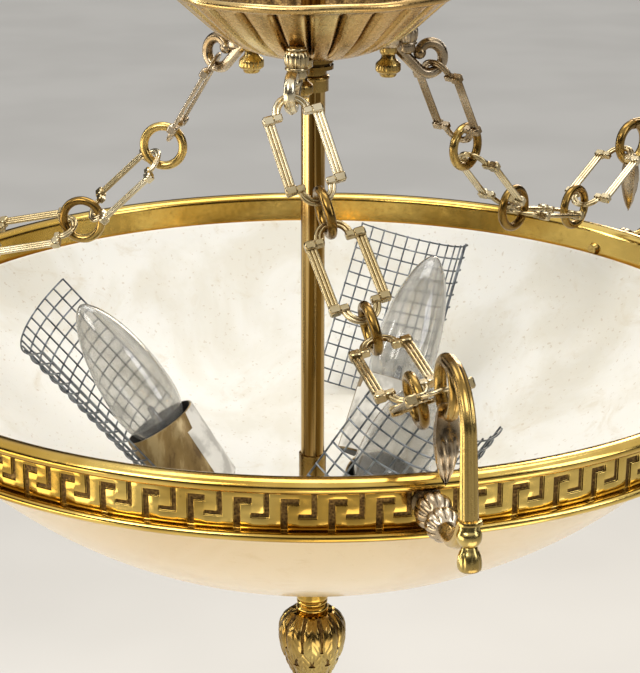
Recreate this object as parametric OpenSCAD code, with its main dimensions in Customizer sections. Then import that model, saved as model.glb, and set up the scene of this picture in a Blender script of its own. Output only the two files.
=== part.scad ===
// Glass pendant light: a shallow opal glass bowl in a brass rim with a key pattern,
// hung by a centre rod and three link-and-ring chains from a fluted brass corona.
// The origin is the centre of the hanging eye, +Z is up and -Y faces the viewer.
// Heights named _z are measured from the rim's top edge, upwards.

/* [Hanging rod] */
// Height of the hanging eye's centre above the rim's top edge
drop = 205; // [200:1:420]
// Diameter of the hole in the hanging eye
eye_bore = 16; // [8:0.5:20]
// Metal round the hole of the hanging eye
eye_wall = 8; // [5:0.5:12]
// Thickness of the hanging eye
eye_width = 8; // [6:0.5:12]
// Diameter of the centre rod
rod_d = 12.6; // [10:0.1:14]
// Diameter of the sleeve above the lamp hub
sleeve_d = 14.8; // [14.6:0.1:20]
// Length of the sleeve above the lamp hub
sleeve_len = 26; // [15:1:60]

/* [Corona] */
// Radius of the corona at its lip
corona_r = 73; // [66:1:86]
// Height of the corona's foot
corona_z = 132.5; // [128:0.5:145]
// Slope of the corona's side in degrees
corona_slope = 42; // [36:0.5:46]
// Thickness of the corona's brass
corona_wall = 2; // [1.2:0.1:3]
// Number of grooves round the corona
flutes = 22; // [12:1:32]
// Radius of the corona's grooves
flute_groove = 1.4; // [0.5:0.1:1.8]

/* [Corona arms] */
// Azimuth of the front arm in degrees, towards the right
arm_azimuth = -9; // [-20:1:10]
// Distance of each arm's screw from the axis
screw_r = 41.5; // [39:0.5:44]
// Thickness of the arms' round bar
arm_wire = 5.8; // [4.5:0.1:6.2]
// Inner radius of the hook at the end of each arm
hook_r = 5; // [4.8:0.1:6]
// Distance of the hook's centre from the axis
hook_out = 64.5; // [62:0.5:70]
// Height of the hook's centre
hook_z = 127; // [124:0.5:130]
// Diameter of the screws that hold the arms
screw_d = 4; // [3:0.1:5]

/* [Chains] */
// Length inside each long link
link_len = 49.2; // [46:0.1:56]
// Distance between the middles of a link's two bars
bar_gap = 24.5; // [22:0.5:28]
// Diameter of one reed of a bar
reed_d = 2.3; // [1.8:0.1:2.6]
// Inner radius of the bow at each end of a link
bow_r = 5.6; // [5.2:0.1:6.2]
// Hole of the small rings
ring_hole = 17; // [14:0.1:22]
// Thickness of the small rings
ring_wire = 4.8; // [3:0.1:5.2]
// Sideways lean of the front chain in degrees
front_lean = 13.5; // [0:0.5:20]
// Turn of the left chain's two middle links about their own length, in degrees
link_roll = 28; // [0:1:40]
// Gap where one part hangs in the next
hang_gap = 0.6; // [0.2:0.05:0.8]

/* [Rim] */
// Inner radius of the rim band
rim_r = 229; // [215:1:250]
// Height of the rim band
rim_h = 32; // [30:0.5:40]
// Thickness of the rim band at the key pattern
rim_wall = 3; // [2.5:0.1:5]
// Radius of the round bead along the rim's top
bead_r = 3; // [2:0.1:4]
// Width of the ledge that carries the glass
ledge_w = 8; // [6:0.5:10]
// Azimuth of the front bracket in degrees, towards the right
bracket_azimuth = 12; // [0:1:20]

/* [Brackets] */
// Distance of the bracket's loop from the rim's key pattern
loop_out = 27.4; // [25:0.2:32]
// Height of the middle of the bracket's loop
loop_z = 47; // [40:0.5:55]
// Inner radius of the bracket's loop
loop_r = 8.5; // [8:0.1:11]
// Thickness of the bracket's loop
loop_wire = 5.5; // [4:0.1:6]
// Thickness of the bracket's upright
upright_d = 7; // [6:0.1:8]
// Depth of the bracket's screw below the rim's top edge
boss_depth = 14; // [13:0.5:16]

/* [Bowl] */
// Depth of the glass below the rim's top edge
bowl_depth = 140; // [135:1:170]
// Thickness of the glass
glass = 5; // [3:0.5:7]
// Distance of the glass's top edge below the rim's top edge
glass_drop = 16; // [14:0.5:20]
// Thickness of the felt under the glass
felt = 1.5; // [0.5:0.1:3]

/* [Lamps] */
// Distance of the lamps' mouths from the rim's inner face
lamp_inset = 145; // [134:1:149]
// Height of the lamps' mouths above the glass's lowest point
lamp_rise = 70; // [68:1:90]
// Outward tilt of the lamps in degrees
lamp_tilt = 32; // [20:1:35]
// Azimuth of the front lamp in degrees, towards the right
lamp_azimuth = 25.5; // [15:0.5:35]
// Diameter of the lamp arms
arm_tube = 10; // [8:0.5:11]
// Outer diameter of the lampholder sleeves
holder_d = 41; // [40:0.5:44]
// Length of the lampholder sleeves
holder_len = 46; // [44:0.5:48]
// Greatest diameter of the bulbs
bulb_d = 37; // [30:0.5:38]
// Length of a bulb beyond the mouth of its holder
bulb_out = 78; // [60:1:90]

/* [Wire guards] */
// Radius of the guards' curve
guard_r = 44; // [40:0.5:50]
// Distance between the wires of a guard
mesh = 7.6; // [6:0.1:8]
// Diameter of the guards' wires
wire = 0.9; // [0.6:0.1:1.2]

/* [Finial] */
// Height of the bottom finial
finial_h = 60; // [50:1:75]
// Greatest radius of the bottom finial
finial_r = 19.7; // [16:0.1:22]
// Length of the turned cup between the glass and the finial
cup_h = 30.5; // [25:0.5:40]

/* [Hidden] */
$fn = 64;

// Play of a screw or rod in its hole, on the radius
play = 0.05;
// Angle between one arm, chain, bracket or lamp and the next
third = 120;
// Extra length that carries a cut through a surface
cut = 1;
rod_r = rod_d / 2;
bore_r = rod_r + play;
screw_bore = screw_d / 2 + play;

// Brass, glass and other colours
polished = "#c9a24c";
aged = "#8a6d3a";
pale_brass = "#c8b98a";
opal = "#eadcc0";
dark_steel = "#5b5f63";
felt_grey = "#6e6a60";
white_ceramic = "#e6e2d8";
clear_glass = "#c9cfd2";

// Turned arc at the corona's foot, which the straight side continues
curve_r = 71;
curve_start = 8;
corona_foot = 13;
lip_r = 1.8;
lip_z = corona_z + curve_height(corona_slope)
    + (corona_r - curve_start - curve_r * sin(corona_slope)) * tan(corona_slope);

// Stack of turned pieces under the corona
washer_h = 6.2;
washer_r = 10.5;
collar_h = 11.3;
collar_r = 8;

// Foot of the finial nuts under the corona's arms
arm_pad_z = corona_z + 2;
arm_pad_r = 6.5;
nut_h = 15.5;
nut_top_r = 4.6;

// Contact of the first link with an arm's hook, and of the last with a bracket's loop
arm_pull = 60;
loop_pull = 29;
hook = [hook_out, hook_z];
hook_bend = hook_r + arm_wire / 2;
loop = [rim_r + rim_wall + loop_out, loop_z];
loop_bend = loop_r + loop_wire / 2;

// Glass bowl: a cap of a sphere that passes just inside the rim's ledge
ledge_r = rim_r - ledge_w;
ledge_z = -rim_h + 2.5;
glass_foot_z = ledge_z + felt;
glass_gap = 0.64;
flange_r = rim_r - 3;
bowl_neck_r = ledge_r - glass_gap;
bowl_neck_h = bowl_depth + ledge_z;
bowl_sphere = (bowl_neck_r * bowl_neck_r + bowl_neck_h * bowl_neck_h) / (2 * bowl_neck_h);
bowl_centre_z = bowl_sphere - bowl_depth;
bowl_hole = rod_r + 2;
gasket_in_r = sqrt(pow(bowl_sphere, 2) - pow(bowl_centre_z - glass_foot_z, 2)) + play;

// Pieces on the rod at the glass's lowest point
inner_washer_r = 14;
nut_af = 20;
bowl_nut_h = 6;
washer_z = bowl_centre_z - sqrt(pow(bowl_sphere - glass, 2) - pow(inner_washer_r, 2));
bowl_nut_z = washer_z + felt;
hub_z = bowl_nut_z + bowl_nut_h;
hub_h = 16;
hub_r = 13;
hub_arm_z = hub_z + hub_h / 2;
cup_z = -bowl_depth - 0.2 - felt;
cup_r = 16;
finial_z = cup_z - cup_h;
finial_thread = 24;

// Lamp mouths and what lies along each lamp's axis, measured from the mouth
lamp_r = rim_r - lamp_inset;
lamp_z = -bowl_depth + lamp_rise;
holder_wall = 1.2;
holder_floor = 2;
nipple = 5;
socket_r = 13.5;
cap_r = 7;
cap_len = 24;
neck_s = -12;
widest_s = 16;
bulb_wall = 1;
stem_h = 22;
elbow_r = 8;
tube_start = 10;

// Wires of a guard: cells round the curve and along it
guard_cells = 12;
guard_rows = 13;
wire_gap = 0.05;
// Each guard's place by its lamp: along the lamp, outward and sideways, then its tilt,
// its heading and the middle of its curve, all in degrees from the lamp's own
guards = [
    [[64.3, -14, 11.4], 23, 106.5, -121.5],
    [[92, -0.4, 31.7], 5, 197, -198],
    [[85.3, -11.4, 17.5], -13, -116, 110.5]
];

function at(r, az, z) = [r * sin(az), -r * cos(az), z];
function curve_height(a) = curve_r * (1 - cos(a));
function outer_z(r) = let (s = (r - curve_start) / curve_r)
    s <= 0 ? corona_z
    : s < sin(corona_slope) ? corona_z + curve_height(asin(s))
    : corona_z + curve_height(corona_slope)
        + (r - curve_start - curve_r * sin(corona_slope)) * tan(corona_slope);

// Heights start from the rim's top edge inside this
module at_rim() {
    translate([0, 0, -drop]) children();
}

// Local X runs outward from the axis at an azimuth
module outward(az) {
    rotate([0, 0, az - 90]) children();
}

module thirds(az) {
    for (i = [0:2]) outward(az + i * third) children();
}

// Local Z runs along a lamp's axis, from its mouth outwards
module on_lamp(n) {
    at_rim() outward(lamp_azimuth + (n - 1) * third)
        translate([lamp_r, 0, lamp_z]) rotate([0, lamp_tilt, 0]) children();
}

module tube(r, wall, h) {
    difference() {
        cylinder(r = r, h = h);
        translate([0, 0, -cut]) cylinder(r = r - wall, h = h + 2 * cut);
    }
}

module bored(h, r) {
    difference() {
        children();
        translate([0, 0, -cut]) cylinder(r = r, h = h + 2 * cut);
    }
}

// A round bar bent in the XY plane from the origin along +X. Each step is [radius, angle],
// turning left when the radius is positive, or [0, length]. Bends are a hair thicker than
// straights, and the thinner piece laps into the thicker one, so that they join cleanly.
seam = 0.02;
lap = 0.3;
function bulk(steps, i) = i < 0 || i >= len(steps) ? -1 : steps[i][0] == 0 ? 0 : 1 + i % 2;

module bent_bar(steps, d, i = 0) {
    if (i < len(steps)) {
        r = steps[i][0];
        a = steps[i][1];
        before = bulk(steps, i - 1) > bulk(steps, i) ? lap : 0;
        after = bulk(steps, i + 1) > bulk(steps, i) ? lap : 0;
        size = d + 2 * seam * bulk(steps, i);
        if (r == 0) {
            translate([-before, 0, 0]) rotate([0, 90, 0]) cylinder(d = size, h = a + before + after);
            translate([a, 0, 0]) bent_bar(steps, d, i + 1);
        } else {
            turn = 180 / PI / abs(r);
            mirror([0, r < 0 ? 1 : 0, 0]) translate([0, abs(r), 0]) rotate([0, 0, -90 - before * turn])
                rotate_extrude(angle = a + (before + after) * turn) translate([abs(r), 0]) circle(d = size);
            translate([abs(r) * sin(a), r * (1 - cos(a)), 0]) rotate([0, 0, sign(r) * a])
                bent_bar(steps, d, i + 1);
        }
    }
}

// Hanging eye and its lock nut
eye_r = eye_bore / 2 + eye_wall;
boss_top = -eye_bore / 2 - 3;
eye_boss_h = 18;
eye_boss_r = rod_r + 3.5;
lock_nut_h = 6;

module hanging_loop() {
    color(polished) difference() {
        union() {
            rotate([90, 0, 0]) translate([0, 0, -eye_width / 2]) cylinder(r = eye_r, h = eye_width);
            translate([0, 0, boss_top - eye_boss_h]) cylinder(r = eye_boss_r, h = eye_boss_h);
        }
        rotate([90, 0, 0]) translate([0, 0, -eye_width]) cylinder(d = eye_bore, h = 2 * eye_width);
        translate([0, 0, boss_top - eye_boss_h - cut]) cylinder(r = bore_r, h = eye_boss_h - 2);
    }
}

module hex_nut(af, h) {
    bored(h, bore_r) cylinder(r = af / 2 / cos(30), h = h, $fn = 6);
}

module top_lock_nut() {
    color(polished) translate([0, 0, boss_top - eye_boss_h - lock_nut_h]) hex_nut(nut_af, lock_nut_h);
}

rod_top = boss_top - eye_boss_h + 14;

module rod() {
    color(polished) at_rim() translate([0, 0, finial_z - finial_thread])
        cylinder(r = rod_r, h = drop + rod_top - finial_z + finial_thread);
}

// Corona
curve_steps = 10;

function corona_side(shift) = concat(
    [[corona_foot, outer_z(corona_foot) + shift]],
    [for (i = [1:curve_steps]) let (a = corona_slope * i / curve_steps, r = curve_start + curve_r * sin(a))
        if (r > corona_foot + 1) [r, corona_z + curve_height(a) + shift]],
    [[corona_r, lip_z + shift]]
);

// Everything below the corona's underside, or above its inner face when raised
module under_corona() {
    rotate_extrude() polygon(concat([[0, 0], [0, outer_z(corona_foot)]], corona_side(0), [[corona_r, 0]]));
}

module over_corona() {
    rise = corona_wall / cos(corona_slope);
    rotate_extrude() polygon(concat([[0, lip_z + 40], [0, outer_z(corona_foot) + rise]],
        corona_side(rise), [[corona_r, lip_z + 40]]));
}

module corona_shell() {
    rise = corona_wall / cos(corona_slope);
    outer = corona_side(0);
    inner = corona_side(rise);
    rotate_extrude() polygon(concat([[0, corona_z]], outer, [for (i = [len(inner) - 1:-1:0]) inner[i]],
        [[0, outer_z(corona_foot) + rise]]));
    round_ring(corona_r, lip_z + rise / 2, lip_r);
}

module corona() {
    groove_start = curve_start + curve_r * sin(corona_slope) * 0.55;
    color(polished) at_rim() difference() {
        corona_shell();
        cylinder(r = bore_r, h = 2 * drop);
        thirds(arm_azimuth) translate([screw_r, 0, corona_z]) cylinder(r = screw_bore, h = 30);
        for (i = [0:flutes - 1]) outward(arm_azimuth + (i + 0.5) * 360 / flutes)
            translate([corona_r - lip_r * 2, 0, outer_z(corona_r - lip_r * 2)])
            rotate([0, -90 - corona_slope, 0])
            cylinder(r = flute_groove, h = (corona_r - groove_start) / cos(corona_slope));
    }
}

module corona_washer() {
    color(polished) at_rim() translate([0, 0, corona_z - washer_h]) bored(washer_h, bore_r) union() {
        cylinder(r = washer_r - 1.5, h = washer_h);
        cylinder(r = washer_r, h = 2);
        translate([0, 0, washer_h - 2.6]) cylinder(r = washer_r, h = 2.6);
    }
}

module corona_collar() {
    neck_h = 4.6;
    color(polished) at_rim() translate([0, 0, corona_z - washer_h - collar_h]) bored(collar_h, bore_r) union() {
        cylinder(r = collar_r, h = collar_h - neck_h);
        cylinder(r = collar_r - 1, h = collar_h);
        translate([0, 0, collar_h - neck_h]) rotate_extrude() translate([collar_r - 1.2, 0]) circle(1.6);
    }
}

// Corona arms: a pad under the corona, a leaf curl and a hook for the chain
leaf_r = 6;
leaf_w = 16;
leaf_out = 10;
leaf_gap = 0.2;
leaf_z = outer_z(screw_r + leaf_out) - (leaf_r + leaf_gap) / cos(corona_slope);
arm_slope = 45;
arm_run = 19.5;

module corona_arm(n) {
    color(pale_brass) at_rim() outward(arm_azimuth + (n - 1) * third) difference() {
        union() {
            intersection() {
                translate([screw_r, 0, arm_pad_z]) cylinder(r = arm_pad_r, h = 20);
                translate([0, 0, -play]) under_corona();
            }
            translate([screw_r + leaf_out, 0, leaf_z]) intersection() {
                rotate([90, 0, 0]) translate([0, 0, -leaf_w / 2]) cylinder(r = leaf_r, h = leaf_w);
                sphere(r = leaf_w / 2 + 1.5);
            }
            translate([hook_out - hook_bend * sin(arm_slope) - arm_run * cos(arm_slope), 0,
                    hook_z - hook_bend * cos(arm_slope) + arm_run * sin(arm_slope)])
                rotate([90, 0, 0]) rotate([0, 0, -arm_slope])
                bent_bar([[0, arm_run], [hook_bend, 180 + arm_slope], [hook_r + 0.5, 80]], arm_wire);
            translate([hook_out - hook_r - 0.4, 0, hook_z + hook_bend - hook_r + 0.4])
                sphere(d = arm_wire + 1.4);
        }
        translate([screw_r, 0, arm_pad_z - 20]) cylinder(r = screw_bore, h = 60);
        translate([screw_r, 0, arm_pad_z - nut_h]) cylinder(r = nut_top_r + 4 * play, h = nut_h);
    }
}

module arm_screws() {
    head_r = 4.5;
    head_h = 5;
    nut_depth = nut_h - 2;
    color(aged) at_rim() {
        thirds(arm_azimuth) translate([screw_r, 0, arm_pad_z - nut_depth])
            cylinder(d = screw_d, h = outer_z(screw_r) - arm_pad_z + nut_depth + 4);
        intersection() {
            thirds(arm_azimuth) translate([screw_r, 0, corona_z])
                cylinder(r = head_r, h = outer_z(screw_r + head_r) - corona_z + head_h);
            over_corona();
        }
    }
}

// Turned finial nut: profile of radius and height above its tip
module arm_nuts() {
    profile = [[0, 0], [4.2, 0], [4.6, 1.5], [6.6, 3], [6.6, 7], [4.2, 9], [3.6, 11.5], [nut_top_r, 13],
        [nut_top_r, nut_h], [0, nut_h]];
    color(polished) at_rim() thirds(arm_azimuth) translate([screw_r, 0, arm_pad_z - nut_h]) difference() {
        rotate_extrude() polygon(profile);
        translate([0, 0, 2]) cylinder(r = screw_bore, h = nut_h);
    }
}

// Chains: the hanging curve of each, from an arm's hook to a bracket's loop.
// Links and rings alternate, and each hangs along the pull at its middle.
chain_links = 4;
pieces = 2 * chain_links - 1;
ring_weight = 0.6;
function is_link(i) = i % 2 == 0;
function pitch(i) = (is_link(i) ? link_len : ring_hole) - hang_gap;
function weight(i) = is_link(i) ? 1 : ring_weight;
function step(h, v) = [h, -v] / norm([h, v]);
function walk(h, v, i = 0, p = [0, 0]) = i == pieces ? [p]
    : concat([p], walk(h, v - weight(i), i + 1, p + pitch(i) * step(h, v - weight(i) / 2)));
function miss(h, v, goal) = walk(h, v)[pieces] - goal;
function pull(goal, h = 2, v = 3.5, n = 30) = n == 0 ? [h, v] : let (
        d = 0.001,
        e = miss(h, v, goal),
        dh = (miss(h + d, v, goal) - e) / d,
        dv = (miss(h, v + d, goal) - e) / d,
        det = dh[0] * dv[1] - dh[1] * dv[0],
        ch = (e[1] * dv[0] - e[0] * dv[1]) / det,
        cv = (e[0] * dh[1] - e[1] * dh[0]) / det
    ) pull(goal, max(h + ch, h / 2), v + cv, n - 1);

// Middles of the wires that a chain hangs on, in the plane of its arm and of its bracket
top_wire = hook + hook_bend * [cos(arm_pull), -sin(arm_pull)];
end_wire = loop - loop_bend * [cos(loop_pull), sin(loop_pull)];
function wire_top(k) = at(top_wire[0], arm_azimuth + (k - 1) * third, top_wire[1]);
function wire_end(k) = at(end_wire[0], bracket_azimuth + (k - 1) * third, end_wire[1]);
function lean(k) = k == 1 ? front_lean : 0;
function unit(v) = v / norm(v);
function turned(v, k, a) = v * cos(a) + cross(k, v) * sin(a) + k * (k * v) * (1 - cos(a));

// The curve starts where the first link rests on its wire and ends where the last one does
span = wire_end(1) - wire_top(1);
top_seat = arm_wire / 2 * [cos(arm_pull), -sin(arm_pull)];
end_seat = loop_wire / 2 * [cos(loop_pull), sin(loop_pull)];
force = pull([norm([span[0], span[1]]), span[2]] + top_seat + end_seat);
curve = walk(force[0], force[1]);

// Points of chain k, and the direction square to its hanging plane
function along(k) = let (s = wire_end(k) - wire_top(k)) unit([s[0], s[1], 0]);
function hung(k, v) = turned(v, unit(wire_end(k) - wire_top(k)), lean(k));
function chain_point(k, i) = let (c = curve[i] - top_seat)
    wire_top(k) + hung(k, along(k) * c[0] + [0, 0, c[1]]);
function chain_side(k) = hung(k, cross([0, 0, 1], along(k)));

// The left chain's middle links lie rolled in their rings
function roll(k, i) = k == 3 && (i == 2 || i == 4) ? -link_roll : 0;

// Local X runs along piece i of chain k from its first contact, and Y across the chain
module on_chain(k, i) {
    a = chain_point(k, i);
    x = unit(chain_point(k, i + 1) - a);
    y = turned(chain_side(k), x, roll(k, i));
    z = cross(x, y);
    at_rim() multmatrix([for (i = [0:2]) [x[i], y[i], z[i], a[i]]]) children();
}

collar = 5;
bow_wire = 2.3;
bow_width = 4;
inner_collar = bow_r + bow_width / 2;
collar_x = 6.5;

module reeded_bar(len) {
    for (i = [-1:1]) translate([0, i * (reed_d - 0.75), 0]) rotate([0, 90, 0])
        cylinder(d = reed_d, h = len, $fn = 24);
}

module bow() {
    translate([bow_r, 0, 0]) rotate([0, 0, 90]) rotate_extrude(angle = 180)
        for (i = [-1, 1]) translate([bow_r + bow_width / 2 + i * (bow_width - bow_wire) / 2, 0])
            circle(d = bow_wire, $fn = 24);
    for (side = [-1, 1]) {
        translate([collar_x, side * inner_collar, 0]) cube([collar, collar - 0.4, collar - 0.8], center = true);
        translate([collar_x + 0.3, side * bar_gap / 2, 0])
            cube([collar + 0.6, collar + 0.6, collar], center = true);
    }
}

module link(k, n) {
    color(pale_brass) on_chain(k, 2 * (n - 1)) {
        translate([-hang_gap / 2, 0, 0]) bow();
        translate([link_len - hang_gap / 2, 0, 0]) mirror([1, 0, 0]) bow();
        for (side = [-1, 1]) translate([collar_x, side * bar_gap / 2, 0])
            reeded_bar(link_len - hang_gap - 2 * collar_x);
    }
}

module ring(k, n) {
    color(aged) on_chain(k, 2 * n - 1) translate([(ring_hole - hang_gap) / 2, 0, 0]) rotate([90, 0, 0])
        rotate_extrude() translate([(ring_hole + ring_wire) / 2, 0]) circle(d = ring_wire);
}

// Rim band: its section, from the inner face to the beads
key_r = rim_r + rim_wall;
groove = 1;
bead_out = key_r + 5;
lower_bead = 2.8;
key_top = 7;
key_low = 6.5;
bead_low = 4.4;
bolt_head = 2.2;

land = 0.6;

module round_ring(r, z, wire) {
    translate([0, 0, z]) rotate_extrude() translate([r, 0]) circle(wire);
}

module rim_band() {
    color(polished) at_rim() difference() {
        union() {
            rotate_extrude() polygon([[rim_r, -land], [bead_out, -land], [bead_out, -2 * bead_r + 1],
                [key_r - groove, -2 * bead_r + 1], [key_r - groove, -key_top], [key_r, -key_top],
                [key_r, -rim_h + key_low], [key_r - groove, -rim_h + key_low],
                [key_r - groove, -rim_h + bead_low],
                [key_r + lower_bead, -rim_h + bead_low], [key_r + lower_bead, -rim_h + land],
                [ledge_r, -rim_h + land], [ledge_r, ledge_z], [rim_r, ledge_z]]);
            round_ring(bead_out, -bead_r, bead_r);
            round_ring(key_r + lower_bead, -rim_h + lower_bead, lower_bead);
        }
        thirds(bracket_azimuth) translate([rim_r - 5, 0, -boss_depth]) rotate([0, 90, 0])
            cylinder(r = screw_bore, h = 20);
    }
}

// Brackets: boss, scrolled casting, drop finial and bolt
boss_len = 32.5;
bead_1 = [11.5, 8.5];
bead_2 = [25, 7.5];
neck_out = key_r + boss_len;
top_run = 8;
top_bend = 22.6;
top_turn = 83;
upright_len = loop_z - 11;
drop_ball = 5.4;
drop_ball_x = 4.6;
drop_neck_r = 4;
bell_x = 9;
bell_len = 5;
bell_r = 5.6;
spike = 25;

module bracket_bosses() {
    color(pale_brass) at_rim() thirds(bracket_azimuth) translate([key_r, 0, -boss_depth])
        rotate([0, 90, 0]) bored(boss_len, screw_bore) intersection() {
            union() {
                cylinder(r = 6, h = boss_len);
                translate([0, 0, bead_1[0]]) sphere(r = bead_1[1]);
                translate([0, 0, bead_2[0]]) sphere(r = bead_2[1]);
            }
            cylinder(r = 20, h = boss_len);
        }
}

module on_bracket(n) {
    at_rim() outward(bracket_azimuth + (n - 1) * third) rotate([90, 0, 0]) children();
}

// Local X runs down the upright from its lower end
module on_upright() {
    translate([loop[0] + top_run + top_bend * sin(top_turn) + upright_len * cos(top_turn),
            loop_z + loop_bend - top_bend * (1 - cos(top_turn)) - upright_len * sin(top_turn), 0])
        rotate([0, 0, -top_turn]) children();
}

module bracket(n) {
    color(aged) on_bracket(n) difference() {
        union() {
            translate([loop[0], loop_z, 0]) rotate_extrude() translate([loop_bend, 0]) circle(d = loop_wire);
            translate([loop[0], loop_z + loop_bend, 0])
                bent_bar([[0, top_run], [-top_bend, top_turn], [0, upright_len]], upright_d - 0.5);
            on_upright() translate([-1.5, 0, 0]) rotate([0, 90, 0]) cylinder(d = upright_d + 2, h = 1.5);
            translate([neck_out, -boss_depth, 0])
                bent_bar([[0, 4], [20, 62], [0, 12]], upright_d);
            translate([loop[0], loop_z - loop_bend, 0]) rotate([90, 0, 0])
                cylinder(r1 = 4.2, r2 = 1.8, h = spike);
            translate([loop[0], loop_z - loop_bend - spike, 0]) sphere(r = 2.6);
        }
        translate([neck_out - cut, -boss_depth, 0]) rotate([0, 90, 0]) cylinder(r = screw_bore, h = 8 + cut);
        on_upright() rotate([0, 90, 0]) cylinder(r = drop_ball + 2 * play, h = bell_x + bell_len);
    }
}

module bracket_finials() {
    color(aged) for (n = [1:3]) on_bracket(n) on_upright() rotate([0, 90, 0]) {
        cylinder(r = drop_neck_r, h = bell_x + cut);
        intersection() {
            translate([0, 0, drop_ball_x]) sphere(r = drop_ball);
            cylinder(r = 2 * drop_ball, h = bell_x + drop_ball);
        }
        translate([0, 0, bell_x]) cylinder(r1 = drop_neck_r + 0.2, r2 = bell_r, h = bell_len);
        translate([0, 0, bell_x + bell_len]) sphere(r = bell_r);
    }
}

module bracket_bolts() {
    color(aged) at_rim() thirds(bracket_azimuth) translate([rim_r - 2 * play, 0, -boss_depth]) rotate([0, 90, 0]) {
        cylinder(d = screw_d, h = rim_wall + boss_len + 7);
        translate([0, 0, -bolt_head]) cylinder(r1 = 3, r2 = 3.8, h = bolt_head);
    }
}

// Glass bowl
module bowl() {
    color(opal) at_rim() difference() {
        union() {
            intersection() {
                translate([0, 0, bowl_centre_z]) sphere(r = bowl_sphere, $fn = 180);
                translate([0, 0, -bowl_depth - cut])
                    cylinder(r = rim_r, h = bowl_depth + cut + glass_foot_z, $fn = 180);
            }
            translate([0, 0, glass_foot_z]) cylinder(r = flange_r, h = -glass_drop - glass_foot_z, $fn = 180);
        }
        translate([0, 0, bowl_centre_z]) sphere(r = bowl_sphere - glass, $fn = 180);
        translate([0, 0, glass_foot_z + 4]) cylinder(r = ledge_r - 2, h = rim_h, $fn = 180);
        translate([0, 0, -bowl_depth - cut]) cylinder(r = bowl_hole, h = glass + 4);
    }
}

module bowl_gasket() {
    color(felt_grey) at_rim() {
        translate([0, 0, ledge_z]) tube(flange_r - 0.5, flange_r - 0.5 - gasket_in_r, felt, $fn = 180);
        translate([0, 0, washer_z]) bored(felt, bore_r) cylinder(r = inner_washer_r, h = felt);
        translate([0, 0, cup_z]) bored(felt, bore_r) cylinder(r = cup_r - 1, h = felt);
    }
}

module bowl_nut() {
    color(aged) at_rim() translate([0, 0, bowl_nut_z]) hex_nut(nut_af, bowl_nut_h);
}

// Turned cup under the glass: a dish that narrows to a neck
module bottom_cup() {
    neck = 8.3;
    color(polished) at_rim() translate([0, 0, cup_z - cup_h]) bored(cup_h, bore_r) union() {
        cylinder(r = neck, h = cup_h);
        translate([0, 0, cup_h - 8]) cylinder(r1 = neck, r2 = cup_r, h = 6);
        translate([0, 0, cup_h - 2]) cylinder(r = cup_r, h = 2);
    }
}

// Bottom finial: neck rings, then a bud that tapers to a rounded tip
module finial() {
    neck_h = 10;
    bud_h = finial_h - neck_h;
    widest = 0.22;
    neck_r = 8.3;
    function bud_radius(t) = t < widest ? finial_r * pow(sin(90 * (t + 0.06) / (widest + 0.06)), 0.7)
        : finial_r * pow(cos(90 * (t - widest) / (1.02 - widest)), 0.75);
    color(polished) at_rim() translate([0, 0, finial_z]) difference() {
        union() {
            rotate_extrude() polygon(concat([[0, -neck_h]],
                [for (i = [0:16]) [bud_radius(i / 16), -neck_h - bud_h * i / 16]], [[0, -finial_h]]));
            translate([0, 0, -neck_h - 1]) cylinder(r = neck_r, h = neck_h + 1);
            round_ring(neck_r, -3, 1.2);
            round_ring(neck_r, -7, 1.6);
        }
        translate([0, 0, -finial_thread]) cylinder(r = bore_r, h = finial_thread + cut);
    }
}

// Lamp hub: a body and sleeve on the rod, and three tubes that rise into the lampholders
holder_r = holder_d / 2;
tube_end_s = -holder_len + nipple;
tube_out = lamp_r + tube_end_s * sin(lamp_tilt);
tube_up = lamp_z + tube_end_s * cos(lamp_tilt) - hub_arm_z;
rise_angle = 90 - lamp_tilt;
slant = (tube_up - elbow_r * (1 - cos(rise_angle))) / sin(rise_angle);
level = tube_out - tube_start - elbow_r * sin(rise_angle) - slant * cos(rise_angle);

module lamp_hub() {
    color(aged) at_rim() difference() {
        union() {
            translate([0, 0, hub_z]) cylinder(r = hub_r, h = hub_h);
            translate([0, 0, hub_z + hub_h]) cylinder(d = sleeve_d, h = sleeve_len);
            thirds(lamp_azimuth) translate([tube_start, 0, hub_arm_z]) rotate([90, 0, 0])
                bent_bar([[0, level], [elbow_r, rise_angle], [0, slant]], arm_tube);
        }
        translate([0, 0, hub_z - cut]) cylinder(r = bore_r, h = hub_h + sleeve_len + 2 * cut);
    }
}

module lampholder(n) {
    color(aged) on_lamp(n) translate([0, 0, -holder_len]) {
        tube(holder_r, holder_wall, holder_len);
        bored(holder_floor, arm_tube / 2 + play) cylinder(r = holder_r - holder_wall / 2, h = holder_floor);
    }
}

module socket(n) {
    socket_h = holder_len + neck_s - holder_floor - 2;
    color(white_ceramic) on_lamp(n) translate([0, 0, -holder_len + holder_floor]) difference() {
        cylinder(r = socket_r, h = socket_h);
        translate([0, 0, -cut]) cylinder(r = arm_tube / 2 + play, h = nipple - holder_floor + cut);
        translate([0, 0, socket_h + 2 - cap_len - hang_gap]) cylinder(r = cap_r + play, h = cap_len);
    }
}

// Candle bulb: its side of [radius, distance beyond the mouth], for a diameter, foot and tip
bulb_steps = 24;
function bulb_side(d, foot, tip) = concat(
    [for (i = [0:10]) [foot + (d / 2 - foot) * pow(sin(9 * i), 0.6), neck_s + (widest_s - neck_s) * i / 10]],
    [for (i = [1:bulb_steps]) let (t = sin(90 * i / bulb_steps))
        [i == bulb_steps ? 0 : d / 2 * pow(1 - t * t, 0.6), widest_s + (tip - widest_s) * t]]);

module bulb(n) {
    neck = cap_r - 0.5;
    color(clear_glass, 0.4) on_lamp(n) rotate_extrude() difference() {
        polygon(concat([[0, neck_s]], bulb_side(bulb_d, neck, bulb_out)));
        polygon(concat([[0, neck_s]],
            bulb_side(bulb_d - 2 * bulb_wall, neck - bulb_wall, bulb_out - bulb_wall)));
    }
}

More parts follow.
